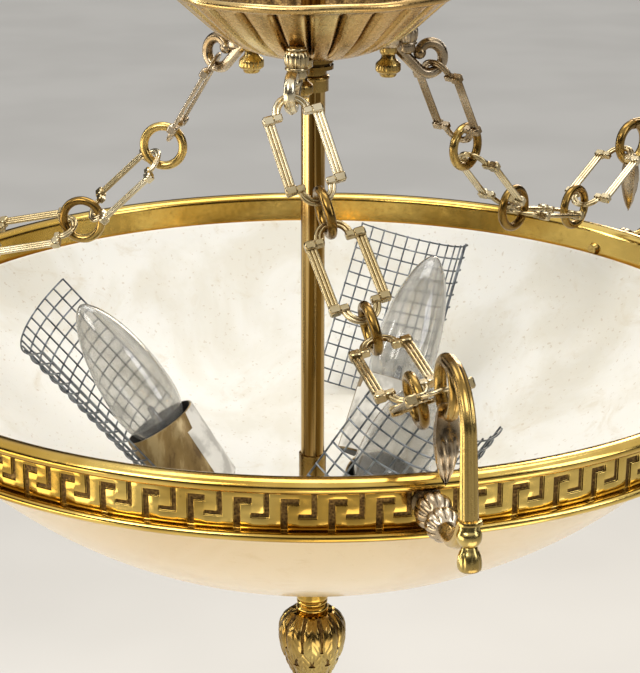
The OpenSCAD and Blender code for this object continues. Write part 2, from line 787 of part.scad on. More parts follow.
module bulb_cap(n) {
    color(dark_steel) on_lamp(n) translate([0, 0, neck_s - cap_len]) {
        cylinder(r = cap_r, h = cap_len);
        translate([0, 0, cap_len]) cylinder(r1 = 4, r2 = 1.5, h = stem_h);
    }
}

// Wire guards: straight wires inside, curved wires outside
module mesh_guard(n) {
    place = guards[n - 1];
    wrap = guard_cells * mesh / guard_r * 180 / PI;
    run = guard_rows * mesh;
    color(dark_steel) on_lamp(n) translate([place[0][1], place[0][2], place[0][0]])
        rotate([0, 0, place[2]]) rotate([0, place[1], 0]) rotate([0, 0, place[3] - wrap / 2]) {
            for (i = [0:guard_cells]) rotate([0, 0, wrap * i / guard_cells])
                translate([guard_r - wire - wire_gap, 0, -run - wire / 2])
                cylinder(d = wire, h = run + wire, $fn = 16);
            for (i = [0:guard_rows]) translate([0, 0, -mesh * i]) rotate_extrude(angle = wrap)
                translate([guard_r, 0]) circle(d = wire, $fn = 16);
        }
}

hanging_loop();
top_lock_nut();
rod();
corona();
corona_washer();
corona_collar();
corona_arm(1);  // corona_arm_1
corona_arm(2);  // corona_arm_2
corona_arm(3);  // corona_arm_3
arm_screws();
arm_nuts();
link(1, 1);  // chain_1_link_1
link(1, 2);  // chain_1_link_2
link(1, 3);  // chain_1_link_3
link(1, 4);  // chain_1_link_4
ring(1, 1);  // chain_1_ring_1
ring(1, 2);  // chain_1_ring_2
ring(1, 3);  // chain_1_ring_3
link(2, 1);  // chain_2_link_1
link(2, 2);  // chain_2_link_2
link(2, 3);  // chain_2_link_3
link(2, 4);  // chain_2_link_4
ring(2, 1);  // chain_2_ring_1
ring(2, 2);  // chain_2_ring_2
ring(2, 3);  // chain_2_ring_3
link(3, 1);  // chain_3_link_1
link(3, 2);  // chain_3_link_2
link(3, 3);  // chain_3_link_3
link(3, 4);  // chain_3_link_4
ring(3, 1);  // chain_3_ring_1
ring(3, 2);  // chain_3_ring_2
ring(3, 3);  // chain_3_ring_3
rim_band();
bracket(1);  // bracket_1
bracket(2);  // bracket_2
bracket(3);  // bracket_3
bracket_bosses();
bracket_finials();
bracket_bolts();
bowl();
bowl_gasket();
bowl_nut();
bottom_cup();
finial();
lamp_hub();
lampholder(1);  // lampholder_1
lampholder(2);  // lampholder_2
lampholder(3);  // lampholder_3
socket(1);  // socket_1
socket(2);  // socket_2
socket(3);  // socket_3
bulb(1);  // bulb_1
bulb(2);  // bulb_2
bulb(3);  // bulb_3
bulb_cap(1);  // bulb_cap_1
bulb_cap(2);  // bulb_cap_2
bulb_cap(3);  // bulb_cap_3
mesh_guard(1);  // mesh_guard_1
mesh_guard(2);  // mesh_guard_2
mesh_guard(3);  // mesh_guard_3
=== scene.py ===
from math import asin, cos, degrees, exp, pi, radians, sin, sqrt, tan

import bmesh
import bpy
import numpy as np
from mathutils import Matrix, Vector


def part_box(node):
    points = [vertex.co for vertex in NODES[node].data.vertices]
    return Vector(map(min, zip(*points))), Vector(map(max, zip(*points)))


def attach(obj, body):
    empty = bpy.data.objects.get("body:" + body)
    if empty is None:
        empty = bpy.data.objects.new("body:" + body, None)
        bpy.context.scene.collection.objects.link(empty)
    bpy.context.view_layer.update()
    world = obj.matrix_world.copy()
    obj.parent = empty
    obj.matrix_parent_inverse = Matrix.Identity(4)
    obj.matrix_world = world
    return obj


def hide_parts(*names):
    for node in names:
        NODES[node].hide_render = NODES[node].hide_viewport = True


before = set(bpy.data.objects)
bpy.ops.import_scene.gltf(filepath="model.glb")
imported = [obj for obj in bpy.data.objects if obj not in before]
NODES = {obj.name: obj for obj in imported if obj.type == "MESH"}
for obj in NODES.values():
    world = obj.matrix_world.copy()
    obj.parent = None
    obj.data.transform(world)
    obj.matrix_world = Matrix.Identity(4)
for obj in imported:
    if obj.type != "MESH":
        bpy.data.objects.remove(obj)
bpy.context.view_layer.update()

bl_info = {
    "name": "Glass Pendant Light",
    "version": (1, 0, 0),
    "blender": (4, 5, 0),
    "location": "3D View > Sidebar > Pendant",
    "description": "Dresses the packed parts of a glass pendant light",
    "category": "Object",
}

MM = 0.001
MAIN_BODY = "pendant"
CHAINS = (1, 2, 3)
THIRD = 120.0


def corners(node):
    """Lowest and highest corner of a part, in millimetres."""
    low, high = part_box(node)
    return low / MM, high / MM


RIM_TOP = corners("rim_band")[1].z


# Sizes and shapes, all in millimetres until a piece is made

WELD = 0.002
EDGE_FLAT = 0.16


def polar(r, azimuth, z):
    """A point at a distance from the axis, an azimuth from the viewer and a height over the rim's top."""
    a = radians(azimuth)
    return Vector((r * sin(a), -r * cos(a), z + RIM_TOP))


def outward(azimuth, r=0.0, z=0.0):
    """Local X runs outward from the axis, Y sideways and Z up."""
    a = radians(azimuth)
    turn = Matrix(((sin(a), cos(a), 0), (-cos(a), sin(a), 0), (0, 0, 1))).to_4x4()
    return Matrix.Translation(polar(r, azimuth, z)) @ turn


def smooth(low, high, x):
    """A soft step from 0 at low to 1 at high."""
    t = min(1.0, max(0.0, (x - low) / (high - low)))
    return t * t * (3 - 2 * t)


def arc(centre, radius, start, end, steps):
    """Points on an arc, with its angles in degrees."""
    angles = [radians(start + (end - start) * i / steps) for i in range(steps + 1)]
    return [(centre[0] + radius * cos(a), centre[1] + radius * sin(a)) for a in angles]


def straight(start, end, steps):
    """Points on a straight line, with its end but not its start."""
    return [(start[0] + (end[0] - start[0]) * i / steps, start[1] + (end[1] - start[1]) * i / steps)
            for i in range(1, steps + 1)]


def around(profile, azimuths):
    """Rows of points about the light's axis, one for each (radius, height) of a profile."""
    return [[polar(r, a, z) for a in azimuths] for r, z in profile]


def full_circle(count):
    """Azimuths spread evenly about the axis."""
    return [360.0 * k / count for k in range(count)]


class Shape:
    """Points in millimetres and the faces over them, gathered piece by piece."""

    def __init__(self):
        self.points = []
        self.faces = []
        self.slots = []

    def add(self, points, faces, place=None, slot=0):
        """Adds faces over their own points, set in place."""
        start = len(self.points)
        self.points += [place @ Vector(p) for p in points] if place else [Vector(p) for p in points]
        self.faces += [tuple(start + i for i in f) for f in faces]
        self.slots += [slot] * len(faces)

    def grid(self, rows, place=None, slot=0, loop_rows=False, ends=True):
        """Faces over closed rows of points. The first and last row are filled unless the rows close too."""
        n = len(rows)
        m = len(rows[0])
        faces = []
        for i in range(n if loop_rows else n - 1):
            for j in range(m):
                a, b = i, (i + 1) % n
                c, d = j, (j + 1) % m
                faces.append((a * m + c, a * m + d, b * m + d, b * m + c))
        points = [p for row in rows for p in row]
        if ends and not loop_rows:
            for i in (0, n - 1):
                centre = sum((Vector(p) for p in rows[i]), Vector()) / m
                points.append(tuple(centre))
                k = len(points) - 1
                faces += [(i * m + j, i * m + (j + 1) % m, k) for j in range(m)]
        self.add(points, faces, place, slot)

    def revolve(self, profile, steps, place=None, closed=False, change=None):
        """Turns a profile of (radius, height) about Z. A change moves each point by its angle."""
        rows = []
        for r, z in profile:
            row = []
            for j in range(steps):
                a = 2 * pi * j / steps
                rr, zz = change(r, z, a) if change else (r, z)
                row.append((rr * cos(a), rr * sin(a), zz))
            rows.append(row)
        self.grid(rows, place, loop_rows=closed)

    def sweep(self, path, radius, sides, place=None, side=(0, 1, 0), wide=1.0, ribs=None, closed=False):
        """A bar along a path that lies in the plane square to side. Ribs are (how many, how deep)."""
        n = len(path)
        across = Vector(side).normalized()
        rows = []
        for i, p in enumerate(path):
            before = path[(i - 1) % n] if closed or i else path[0]
            after = path[(i + 1) % n] if closed or i < n - 1 else path[-1]
            along = (Vector(after) - Vector(before)).normalized()
            up = across.cross(along).normalized()
            t = i / (n - 1)
            r = radius(t) if callable(radius) else radius
            w = wide(t) if callable(wide) else wide
            row = []
            for j in range(sides):
                a = 2 * pi * j / sides
                k = 1 + ribs[1] * cos(ribs[0] * a) if ribs else 1
                row.append(tuple(Vector(p) + up * (r * k * cos(a)) + across * (r * k * w * sin(a))))
            rows.append(row)
        self.grid(rows, place, loop_rows=closed)

    def ball(self, centre, radius, place=None, slot=0):
        """A ball of twenty gores."""
        gores = 20
        rows = []
        for i in range(1, gores // 2):
            b = pi * i / (gores // 2)
            row = []
            for j in range(gores):
                a = 2 * pi * j / gores
                row.append((centre[0] + radius * sin(b) * cos(a), centre[1] + radius * sin(b) * sin(a),
                            centre[2] + radius * cos(b)))
            rows.append(row)
        self.grid(rows, place, slot)

    def block(self, centre, size):
        """A block with small flats along its edges."""
        cut = min(size) * EDGE_FLAT
        points = []
        for sx in (-1, 1):
            for sy in (-1, 1):
                for sz in (-1, 1):
                    x, y, z = (sx * size[0] / 2, sy * size[1] / 2, sz * size[2] / 2)
                    points.append((x - sx * cut, y - sy * cut, z))
                    points.append((x - sx * cut, y, z - sz * cut))
                    points.append((x, y - sy * cut, z - sz * cut))
        hull = bmesh.new()
        for p in points:
            hull.verts.new(Vector(p) + Vector(centre))
        bmesh.ops.convex_hull(hull, input=hull.verts)
        hull.verts.index_update()
        self.add([v.co.copy() for v in hull.verts], [tuple(v.index for v in f.verts) for f in hull.faces])
        hull.free()

    def leaf(self, outer, inner, rows, columns, place=None):
        """A closed leaf between two faces, each a function of (0..1 along, -1..1 across)."""
        n = rows + 1
        m = columns + 1
        points = []
        for face in (outer, inner):
            for i in range(n):
                for j in range(m):
                    points.append(face(i / rows, 2 * j / columns - 1))
        faces = []
        for i in range(rows):
            for j in range(columns):
                a = i * m + j
                faces.append((a, a + 1, a + m + 1, a + m))
                b = n * m + a
                faces.append((b, b + m, b + m + 1, b + 1))
        for i in range(rows):
            for j in (0, columns):
                a = i * m + j
                faces.append((a, a + m, a + m + n * m, a + n * m))
        for j in range(columns):
            for i in (0, rows):
                a = i * m + j
                faces.append((a, a + 1, a + 1 + n * m, a + n * m))
        self.add(points, faces, place)


def make_piece(name, shape, materials, crease=40.0, bevel=None):
    """Turns a shape into a smooth-shaded object in metres with outward faces.

    Edges sharper than crease stay sharp, and a bevel is (width, least angle, segments).
    """
    mesh = bpy.data.meshes.new(name)
    mesh.from_pydata([tuple(p * MM) for p in shape.points], [], shape.faces)
    for polygon, slot in zip(mesh.polygons, shape.slots):
        polygon.material_index = slot
    work = bmesh.new()
    work.from_mesh(mesh)
    bmesh.ops.remove_doubles(work, verts=work.verts, dist=WELD * MM)
    bmesh.ops.dissolve_degenerate(work, edges=work.edges, dist=WELD * MM / 2)
    bmesh.ops.recalc_face_normals(work, faces=work.faces)
    if bevel:
        edges = [e for e in work.edges if len(e.link_faces) == 2 and degrees(e.calc_face_angle(0)) > bevel[1]]
        bmesh.ops.bevel(work, geom=edges, offset=bevel[0] * MM, segments=bevel[2], profile=0.5,
                        affect="EDGES", clamp_overlap=True)
    work.to_mesh(mesh)
    work.free()
    for surface in materials:
        mesh.materials.append(surface)
    mesh.shade_smooth()
    mesh.set_sharp_from_angle(angle=radians(crease))
    piece = bpy.data.objects.new(name, mesh)
    bpy.context.scene.collection.objects.link(piece)
    return piece


def fit(piece, body, slot, *nodes):
    """The piece rides on its body and stands for its nodes. The slot is not used."""
    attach(piece, body)
    if nodes:
        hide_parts(*nodes)


# Materials


def colour(code):
    """An sRGB hex colour as linear values."""
    parts = [int(code[i:i + 2], 16) / 255 for i in (1, 3, 5)]
    return tuple(c / 12.92 if c <= 0.04045 else ((c + 0.055) / 1.055) ** 2.4 for c in parts) + (1.0,)


NOISE, RAMP, SHADER = "ShaderNodeTexNoise", "ShaderNodeValToRGB", "ShaderNodeBsdfPrincipled"
MAP, MIX, BUMP = "ShaderNodeMapRange", "ShaderNodeMix", "ShaderNodeBump"


def add_node(tree, kind, inputs=None, stops=(), **settings):
    """Adds a node with its settings, values and links, and a ramp's stops of (position, colour)."""
    node = tree.nodes.new(kind)
    for key, value in settings.items():
        setattr(node, key, value)
    for name, value in (inputs or {}).items():
        socket = node.inputs[name]
        if isinstance(value, bpy.types.NodeSocket):
            tree.links.new(value, socket)
        else:
            socket.default_value = value
    if stops:
        node.color_ramp.interpolation = "EASE"
        points = node.color_ramp.elements
        while len(points) < len(stops):
            points.new(0.5)
        for point, (position, value) in zip(points, stops):
            point.position = position
            point.color = value if isinstance(value, tuple) else (value, value, value, 1.0)
    return node


def new_material(name):
    """An empty material, its tree and its object coordinates."""
    material = bpy.data.materials.new(name)
    material.use_nodes = True
    material.node_tree.nodes.clear()
    tree = material.node_tree
    place = add_node(tree, "ShaderNodeTexCoord").outputs["Object"]
    return material, tree, place


def finish(tree, surface):
    """Ends a material's tree in its surface."""
    add_node(tree, "ShaderNodeOutputMaterial", {"Surface": surface})


def mottled(name, scale, detail, stops, values):
    """A finish whose tone varies between stops with a noise of the given scale."""
    material, tree, place = new_material(name)
    spots = add_node(tree, NOISE, {"Vector": place, "Scale": scale, "Detail": detail}).outputs["Fac"]
    tint = add_node(tree, RAMP, {"Fac": spots}, stops).outputs["Color"]
    finish(tree, add_node(tree, SHADER, {"Base Color": tint, **values}).outputs[0])
    return material


def picked(name):
    """A colour from the settings."""
    return (*getattr(bpy.context.scene.pendant_colours, name), 1.0)


def brass(name, bright, mid, dark, roughness, tarnish, grime_and_shade, wear):
    """Brass of a given polish: a bright tone that drifts to a mid one, tarnish in spots, and dark wax with
    painted shade in hollows.
    """
    material, tree, place = new_material(name)
    # The tone drifts over about 60 mm, and tarnish sits in spots of about 3 mm
    drift = add_node(tree, NOISE, {"Vector": place, "Scale": 16.0, "Detail": 3.0}).outputs["Fac"]
    spots = add_node(tree, NOISE, {"Vector": place, "Scale": 330.0, "Detail": 4.0,
                                   "Roughness": 0.6}).outputs["Fac"]
    stops = [(0.38, mid), (0.62, bright)]
    tint = add_node(tree, RAMP, {"Fac": drift}, stops).outputs["Color"]
    stained = add_node(tree, RAMP, {"Fac": spots}, [(0.60, 0.0), (0.78, tarnish)]).outputs["Color"]
    tint = add_node(tree, MIX, {"Factor": stained, "A": tint, "B": dark}, data_type="RGBA").outputs["Result"]
    if grime_and_shade:
        # Hollows go dark, partly as the dark wax that cast pieces keep there and partly as painted shade, and
        # ridges keep the rubbed bright tone
        ridge = add_node(tree, "ShaderNodeNewGeometry").outputs["Pointiness"]
        stops = [(0.5 - 0.06 * grime_and_shade, 0.15), (0.51, 1.0)]
        hollow = add_node(tree, RAMP, {"Fac": ridge}, stops).outputs["Color"]
        tint = add_node(tree, MIX, {"Factor": hollow, "A": dark, "B": tint},
                        data_type="RGBA").outputs["Result"]
    rough = add_node(tree, MAP, {"Value": spots, "From Min": 0.35, "From Max": 0.75,
                                 "To Min": roughness, "To Max": roughness * 1.9}).outputs["Result"]
    dents = add_node(tree, NOISE, {"Vector": place, "Scale": 120.0, "Detail": 2.0}).outputs["Fac"]
    bump = add_node(tree, BUMP, {"Height": dents, "Strength": wear, "Distance": 0.0005}).outputs["Normal"]
    metal = add_node(tree, SHADER, {"Base Color": tint, "Metallic": 1.0, "Roughness": rough, "Normal": bump})
    finish(tree, metal.outputs[0])
    return material


def polished_brass():
    """Brass, turned or spun and buffed: clear reflections in a light yellow gold, with a few dull spots."""
    return brass("polished brass", picked("polished"), colour("#bb9644"), colour("#63491a"),
                 roughness=0.12, tarnish=0.30, grime_and_shade=0.0, wear=0.10)


def rod_brass():
    """Brass tube, drawn: brown gold with light and dark streaks that run down its length, partly drawing
    marks and partly painted reflection.
    """
    material, tree, place = new_material("drawn brass tube")
    # Streaks about 3 mm wide and 400 mm long, their pale and dark tones partly painted reflection
    drawn = add_node(tree, "ShaderNodeMapping", {"Vector": place, "Scale": (1.0, 1.0, 0.01)}).outputs[0]
    runs = add_node(tree, NOISE, {"Vector": drawn, "Scale": 260.0, "Detail": 2.0}).outputs["Fac"]
    stops = [(0.36, colour("#65491b")), (0.5, colour("#c0a064")), (0.62, colour("#ecd79c"))]
    tint = add_node(tree, RAMP, {"Fac": runs}, stops).outputs["Color"]
    finish(tree, add_node(tree, SHADER, {"Base Color": tint, "Metallic": 1.0, "Roughness": 0.16}).outputs[0])
    return material


def spun_brass():
    """Brass, spun and fluted, a little pink where the lacquer has thinned."""
    return brass("spun brass", colour("#dac58a"), colour("#b8965e"), colour("#38240d"),
                 roughness=0.20, tarnish=0.35, grime_and_shade=1.0, wear=0.12)


def cast_brass():
    """Brass, cast, chased and buffed on its ridges: bright ribs over hollows browned by patina and painted
    shade.
    """
    return brass("cast brass, buffed", colour("#cfb973"), colour("#93763e"), colour("#2a1b0a"),
                 roughness=0.17, tarnish=0.45, grime_and_shade=1.2, wear=0.25)


def pale_brass():
    """Brass with its lacquer gone and rubbed pale: silvery ridges, and hollows browned by patina and painted
    shade.
    """
    return brass("pale rubbed brass", picked("pale"), colour("#ac9970"), colour("#33240f"),
                 roughness=0.18, tarnish=0.45, grime_and_shade=1.0, wear=0.20)


def bronze_brass():
    """Brass gone to a purplish brown, as on old bronze, with silvery rubbed ridges."""
    return brass("brass with bronze patina", colour("#c9b9a0"), colour("#7f6a4b"), colour("#21150c"),
                 roughness=0.20, tarnish=0.55, grime_and_shade=1.0, wear=0.35)


def aged_brass():
    """Brass left to darken: satin brown gold with brighter rubbed ridges."""
    return brass("aged brass", colour("#c4a764"), colour("#7f6331"), colour("#26180a"),
                 roughness=0.18, tarnish=0.55, grime_and_shade=1.0, wear=0.30)


def key_ground_and_shade():
    """Brass darkened with wax in the sunken key lines: matt brown with a fine matting of punch marks. It is
    also the painted shade of the ball under each arm's cup.
    """
    material, tree, place = new_material("darkened brass ground")
    marks = add_node(tree, "ShaderNodeTexVoronoi", {"Vector": place, "Scale": 900.0}).outputs["Distance"]
    stops = [(0.0, colour("#2e1f0d")), (0.5, colour("#5f4723")), (1.0, colour("#8a6d3a"))]
    tint = add_node(tree, RAMP, {"Fac": marks}, stops).outputs["Color"]
    bump = add_node(tree, BUMP, {"Height": marks, "Strength": 0.5, "Distance": 0.0003}).outputs["Normal"]
    metal = add_node(tree, SHADER, {"Base Color": tint, "Metallic": 0.85, "Roughness": 0.48, "Normal": bump})
    finish(tree, metal.outputs[0])
    return material


def opal(name, base, cloud, vein, specks, values):
    """Opal glass with a soft clouding, faint yellow veins and small specks in it."""
    material, tree, place = new_material(name)
    # Clouds of about 80 mm, veins of about 25 mm and specks of about 2 mm
    clouds = add_node(tree, NOISE, {"Vector": place, "Scale": 12.0, "Detail": 5.0, "Roughness": 0.6,
                                    "Distortion": 0.6}).outputs["Fac"]
    veins = add_node(tree, NOISE, {"Vector": place, "Scale": 34.0, "Detail": 6.0, "Roughness": 0.7,
                                   "Distortion": 1.2}).outputs["Fac"]
    dots = add_node(tree, NOISE, {"Vector": place, "Scale": 420.0, "Detail": 2.0}).outputs["Fac"]
    stops = [(0.40, cloud), (0.58, base)]
    tint = add_node(tree, RAMP, {"Fac": clouds}, stops).outputs["Color"]
    for pattern, first, last, amount, tone in ((veins, 0.54, 0.72, 0.45, vein),
                                               (dots, 0.66, 0.71, specks, colour("#a5895c"))):
        share = add_node(tree, RAMP, {"Fac": pattern}, [(first, 0.0), (last, amount)]).outputs["Color"]
        tint = add_node(tree, MIX, {"Factor": share, "A": tint, "B": tone},
                        data_type="RGBA").outputs["Result"]
    bump = add_node(tree, BUMP, {"Height": clouds, "Strength": 0.08, "Distance": 0.002}).outputs["Normal"]
    glass = add_node(tree, SHADER, {"Base Color": tint, "IOR": 1.5, "Subsurface Weight": 0.35,
                                    "Subsurface Radius": (1.0, 0.9, 0.75), "Subsurface Scale": 0.006,
                                    "Coat Roughness": 0.12, "Normal": bump, **values})
    finish(tree, glass.outputs[0])
    return material


def opal_inside():
    """Opal glass, cast, its inner face: a matt, warm near-white with yellowish mottling and specks."""
    return opal("opal glass, inner face", picked("glass_inside"), colour("#d6d2c5"), colour("#c6baa0"), 0.34,
                {"Roughness": 0.62, "Coat Weight": 0.04})


def opal_outside():
    """Opal glass, cast and fire-polished, its outer face: an even peach with a soft gloss."""
    return opal("opal glass, outer face", picked("glass_outside"), colour("#d5bf94"), colour("#cdb488"), 0.12,
                {"Roughness": 0.22, "Coat Weight": 0.25})


def bulb_glass():
    """Soda-lime glass, blown thin and very lightly etched: clear with grey edges and a soft sheen."""
    material, tree, place = new_material("lamp glass, light etch")
    etch = add_node(tree, NOISE, {"Vector": place, "Scale": 60.0, "Detail": 3.0}).outputs["Fac"]
    stops = [(0.35, colour("#dcdbd7")), (0.65, colour("#f0efec"))]
    tint = add_node(tree, RAMP, {"Fac": etch}, stops).outputs["Color"]
    rough = add_node(tree, MAP, {"Value": etch, "From Min": 0.35, "From Max": 0.65,
                                 "To Min": 0.14, "To Max": 0.05}).outputs["Result"]
    glass = add_node(tree, SHADER, {"Base Color": tint, "Roughness": rough, "IOR": 1.45,
                                    "Transmission Weight": 0.93})
    finish(tree, glass.outputs[0])
    return material


def sleeve_brass():
    """Brass tube, drawn and stained brown, with streaks where the stain ran."""
    material, tree, place = new_material("stained brass tube")
    drawn = add_node(tree, "ShaderNodeMapping", {"Vector": place, "Scale": (1.0, 1.0, 0.25)}).outputs[0]
    runs = add_node(tree, NOISE, {"Vector": drawn, "Scale": 120.0, "Detail": 6.0,
                                  "Roughness": 0.65}).outputs["Fac"]
    stops = [(0.34, colour("#5f4a2a")), (0.50, colour("#80693f")), (0.66, colour("#a08c62"))]
    tint = add_node(tree, RAMP, {"Fac": runs}, stops).outputs["Color"]
    rough = add_node(tree, MAP, {"Value": runs, "From Min": 0.3, "From Max": 0.7,
                                 "To Min": 0.5, "To Max": 0.32}).outputs["Result"]
    metal = add_node(tree, SHADER, {"Base Color": tint, "Metallic": 0.55, "Roughness": rough})
    finish(tree, metal.outputs[0])
    return material


def sleeve_paper():
    """White card that lines and laps the sleeve: matt, with grey smudges."""
    return mottled("white card", 90.0, 5.0, [(0.38, colour("#b9b6ad")), (0.6, colour("#e4e1d8"))],
                   {"Roughness": 0.75})


def painted_mouth_shade():
    """Near-black painted shade inside the sleeves: almost no shine, so that the mouth reads as a dark gap."""
    return mottled("painted sleeve shade", 300.0, 2.0, [(0.3, colour("#0d0d0c")), (0.8, colour("#272522"))],
                   {"Roughness": 0.7})


def mesh_steel():
    """Steel wire, galvanised and dulled: mid grey with darker stretches."""
    return mottled("galvanised steel wire", 160.0, 3.0,
                   [(0.35, colour("#555a5f")), (0.65, colour("#8a8f93"))],
                   {"Metallic": 0.9, "Roughness": 0.36})


def cap_nickel():
    """Nickel-plated steel of the bulb's cap and stem: grey with sharp glints."""
    return mottled("nickel plate", 420.0, 3.0, [(0.35, colour("#6f7072")), (0.65, colour("#b5b6b6"))],
                   {"Metallic": 1.0, "Roughness": 0.2})


def glazed_ceramic():
    """Steatite, pressed and glazed: off-white with a soft gloss and faint pits."""
    return mottled("glazed steatite", 500.0, 2.0, [(0.3, colour("#cfc9bb")), (0.6, colour("#ece8df"))],
                   {"Roughness": 0.25, "Coat Weight": 0.4})


def grey_felt():
    """Wool felt, pressed: matt grey with a short nap."""
    material, tree, place = new_material("pressed wool felt")
    nap = add_node(tree, NOISE, {"Vector": place, "Scale": 1400.0, "Detail": 4.0}).outputs["Fac"]
    stops = [(0.3, colour("#4b4740")), (0.7, colour("#857f72"))]
    tint = add_node(tree, RAMP, {"Fac": nap}, stops).outputs["Color"]
    bump = add_node(tree, BUMP, {"Height": nap, "Strength": 0.6, "Distance": 0.0003}).outputs["Normal"]
    cloth = add_node(tree, SHADER, {"Base Color": tint, "Roughness": 0.95, "Sheen Weight": 0.4,
                                    "Normal": bump})
    finish(tree, cloth.outputs[0])
    return material


MATERIAL_MAKERS = {
    "polished": polished_brass, "rod": rod_brass, "spun": spun_brass, "cast": cast_brass, "pale": pale_brass,
    "bronze": bronze_brass, "aged": aged_brass, "ground_and_shade": key_ground_and_shade,
    "opal_in": opal_inside, "opal_out": opal_outside, "bulb": bulb_glass, "sleeve": sleeve_brass,
    "card": sleeve_paper, "painted_shade_lining": painted_mouth_shade, "steel": mesh_steel, "nickel": cap_nickel,
    "ceramic": glazed_ceramic, "felt": grey_felt,
}
MADE = {}


def material(key):
    """Each material is made once."""
    if key not in MADE:
        MADE[key] = MATERIAL_MAKERS[key]()
    return MADE[key]


# Geometry node trees


def new_tree(name, inputs):
    """A geometry tree with a geometry input and named inputs of (name, kind, default)."""
    tree = bpy.data.node_groups.new(name, "GeometryNodeTree")
    tree.interface.new_socket("Geometry", in_out="INPUT", socket_type="NodeSocketGeometry")
    for label, kind, default in inputs:
        socket = tree.interface.new_socket(label, in_out="INPUT", socket_type=kind)
        if default is not None:
            socket.default_value = default
    tree.interface.new_socket("Geometry", in_out="OUTPUT", socket_type="NodeSocketGeometry")
    return tree, add_node(tree, "NodeGroupInput"), add_node(tree, "NodeGroupOutput")


def wires_tree():
    """Round wires along the edges of a mesh."""
    tree, given, result = new_tree("wires_along_edges", [("Thickness", "NodeSocketFloat", 0.0009),
                                                         ("Sides", "NodeSocketInt", 6),
                                                         ("Material", "NodeSocketMaterial", None)])
    lines = add_node(tree, "GeometryNodeMeshToCurve", {"Mesh": given.outputs["Geometry"]})
    half = add_node(tree, "ShaderNodeMath", {0: given.outputs["Thickness"], 1: 0.5}, operation="MULTIPLY")
    ring = add_node(tree, "GeometryNodeCurvePrimitiveCircle", {"Resolution": given.outputs["Sides"],
                                                               "Radius": half.outputs[0]})
    tubes = add_node(tree, "GeometryNodeCurveToMesh", {"Curve": lines.outputs["Curve"], "Fill Caps": True,
                                                       "Profile Curve": ring.outputs["Curve"]})
    shaded = add_node(tree, "GeometryNodeSetShadeSmooth", {"Geometry": tubes.outputs["Mesh"]})
    real = add_node(tree, "GeometryNodeRealizeInstances", {"Geometry": shaded.outputs["Geometry"]})
    coated = add_node(tree, "GeometryNodeSetMaterial", {"Geometry": real.outputs["Geometry"],
                                                        "Material": given.outputs["Material"]})
    tree.links.new(coated.outputs["Geometry"], result.inputs["Geometry"])
    return tree


def copies_tree():
    """Copies of one piece at the points of a mesh, each turned by the point's turn attribute."""
    tree, given, result = new_tree("copies_at_points", [("Piece", "NodeSocketObject", None),
                                                        ("Material", "NodeSocketMaterial", None)])
    piece = add_node(tree, "GeometryNodeObjectInfo", {"Object": given.outputs["Piece"]})
    turn = add_node(tree, "GeometryNodeInputNamedAttribute", {"Name": "turn"}, data_type="FLOAT_VECTOR")
    rotation = add_node(tree, "FunctionNodeEulerToRotation", {0: turn.outputs[0]})
    placed = add_node(tree, "GeometryNodeInstanceOnPoints", {"Points": given.outputs["Geometry"],
                                                             "Instance": piece.outputs["Geometry"],
                                                             "Rotation": rotation.outputs[0]})
    real = add_node(tree, "GeometryNodeRealizeInstances", {"Geometry": placed.outputs["Instances"]})
    coated = add_node(tree, "GeometryNodeSetMaterial", {"Geometry": real.outputs["Geometry"],
                                                        "Material": given.outputs["Material"]})
    tree.links.new(coated.outputs["Geometry"], result.inputs["Geometry"])
    return tree


def run_tree(name, source, tree, values):
    """Runs a tree on a source object and keeps the result as a plain mesh."""
    modifier = source.modifiers.new("shape", "NODES")
    modifier.node_group = tree
    for item in tree.interface.items_tree:
        if item.in_out == "INPUT" and item.name in values:
            modifier[item.identifier] = values[item.name]
    bpy.context.view_layer.update()
    graph = bpy.context.evaluated_depsgraph_get()
    mesh = bpy.data.meshes.new_from_object(source.evaluated_get(graph))
    source.modifiers.clear()
    bpy.data.objects.remove(source)
    mesh.name = name
    piece = bpy.data.objects.new(name, mesh)
    bpy.context.scene.collection.objects.link(piece)
    return piece


def wires(name, lines, thickness, sides, finish_key):
    """A piece of wires along lines, each a list of points in millimetres."""
    points = []
    edges = []
    for line in lines:
        start = len(points)
        points += [tuple(Vector(p) * MM) for p in line]
        edges += [(start + i, start + i + 1) for i in range(len(line) - 1)]
    mesh = bpy.data.meshes.new(name + "_lines")
    mesh.from_pydata(points, edges, [])
    source = bpy.data.objects.new(name + "_lines", mesh)
    bpy.context.scene.collection.objects.link(source)
    return run_tree(name, source, wires_tree(), {"Thickness": thickness * MM, "Sides": sides,
                                                 "Material": material(finish_key)})


def copies(name, shape, places, finish_key, crease=40.0):
    """A piece made of copies of a shape, given each copy's place in metres."""
    motif = make_piece(name + "_one", shape, [material(finish_key)], crease=crease)
    mesh = bpy.data.meshes.new(name + "_points")
    mesh.from_pydata([tuple(m.translation) for m in places], [], [])
    turns = mesh.attributes.new("turn", "FLOAT_VECTOR", "POINT")
    for i, m in enumerate(places):
        turns.data[i].vector = tuple(m.to_euler())
    source = bpy.data.objects.new(name + "_points", mesh)
    bpy.context.scene.collection.objects.link(source)
    piece = run_tree(name, source, copies_tree(), {"Piece": motif, "Material": material(finish_key)})
    bpy.data.objects.remove(motif)
    return piece


def node_place(node):
    """A link's or ring's own place: X along its longest side, Y across and Z through it, in metres."""
    spots = np.array([v.co for v in NODES[node].data.vertices])
    cloud = np.unique(np.round(spots, 6), axis=0)
    middle = cloud.mean(0)
    spread = np.linalg.svd(cloud - middle, full_matrices=False)[2]
    x, y = Vector(spread[0]), Vector(spread[1])
    z = x.cross(y).normalized()
    low = [min((cloud - middle) @ np.array(a)) for a in (x, y, z)]
    high = [max((cloud - middle) @ np.array(a)) for a in (x, y, z)]
    centre = Vector(middle)
    for axis, a, b in zip((x, y, z), low, high):
        centre += axis * ((a + b) / 2)
    place = Matrix((x, y, z)).transposed().to_4x4()
    place.translation = centre
    return place


# Settings


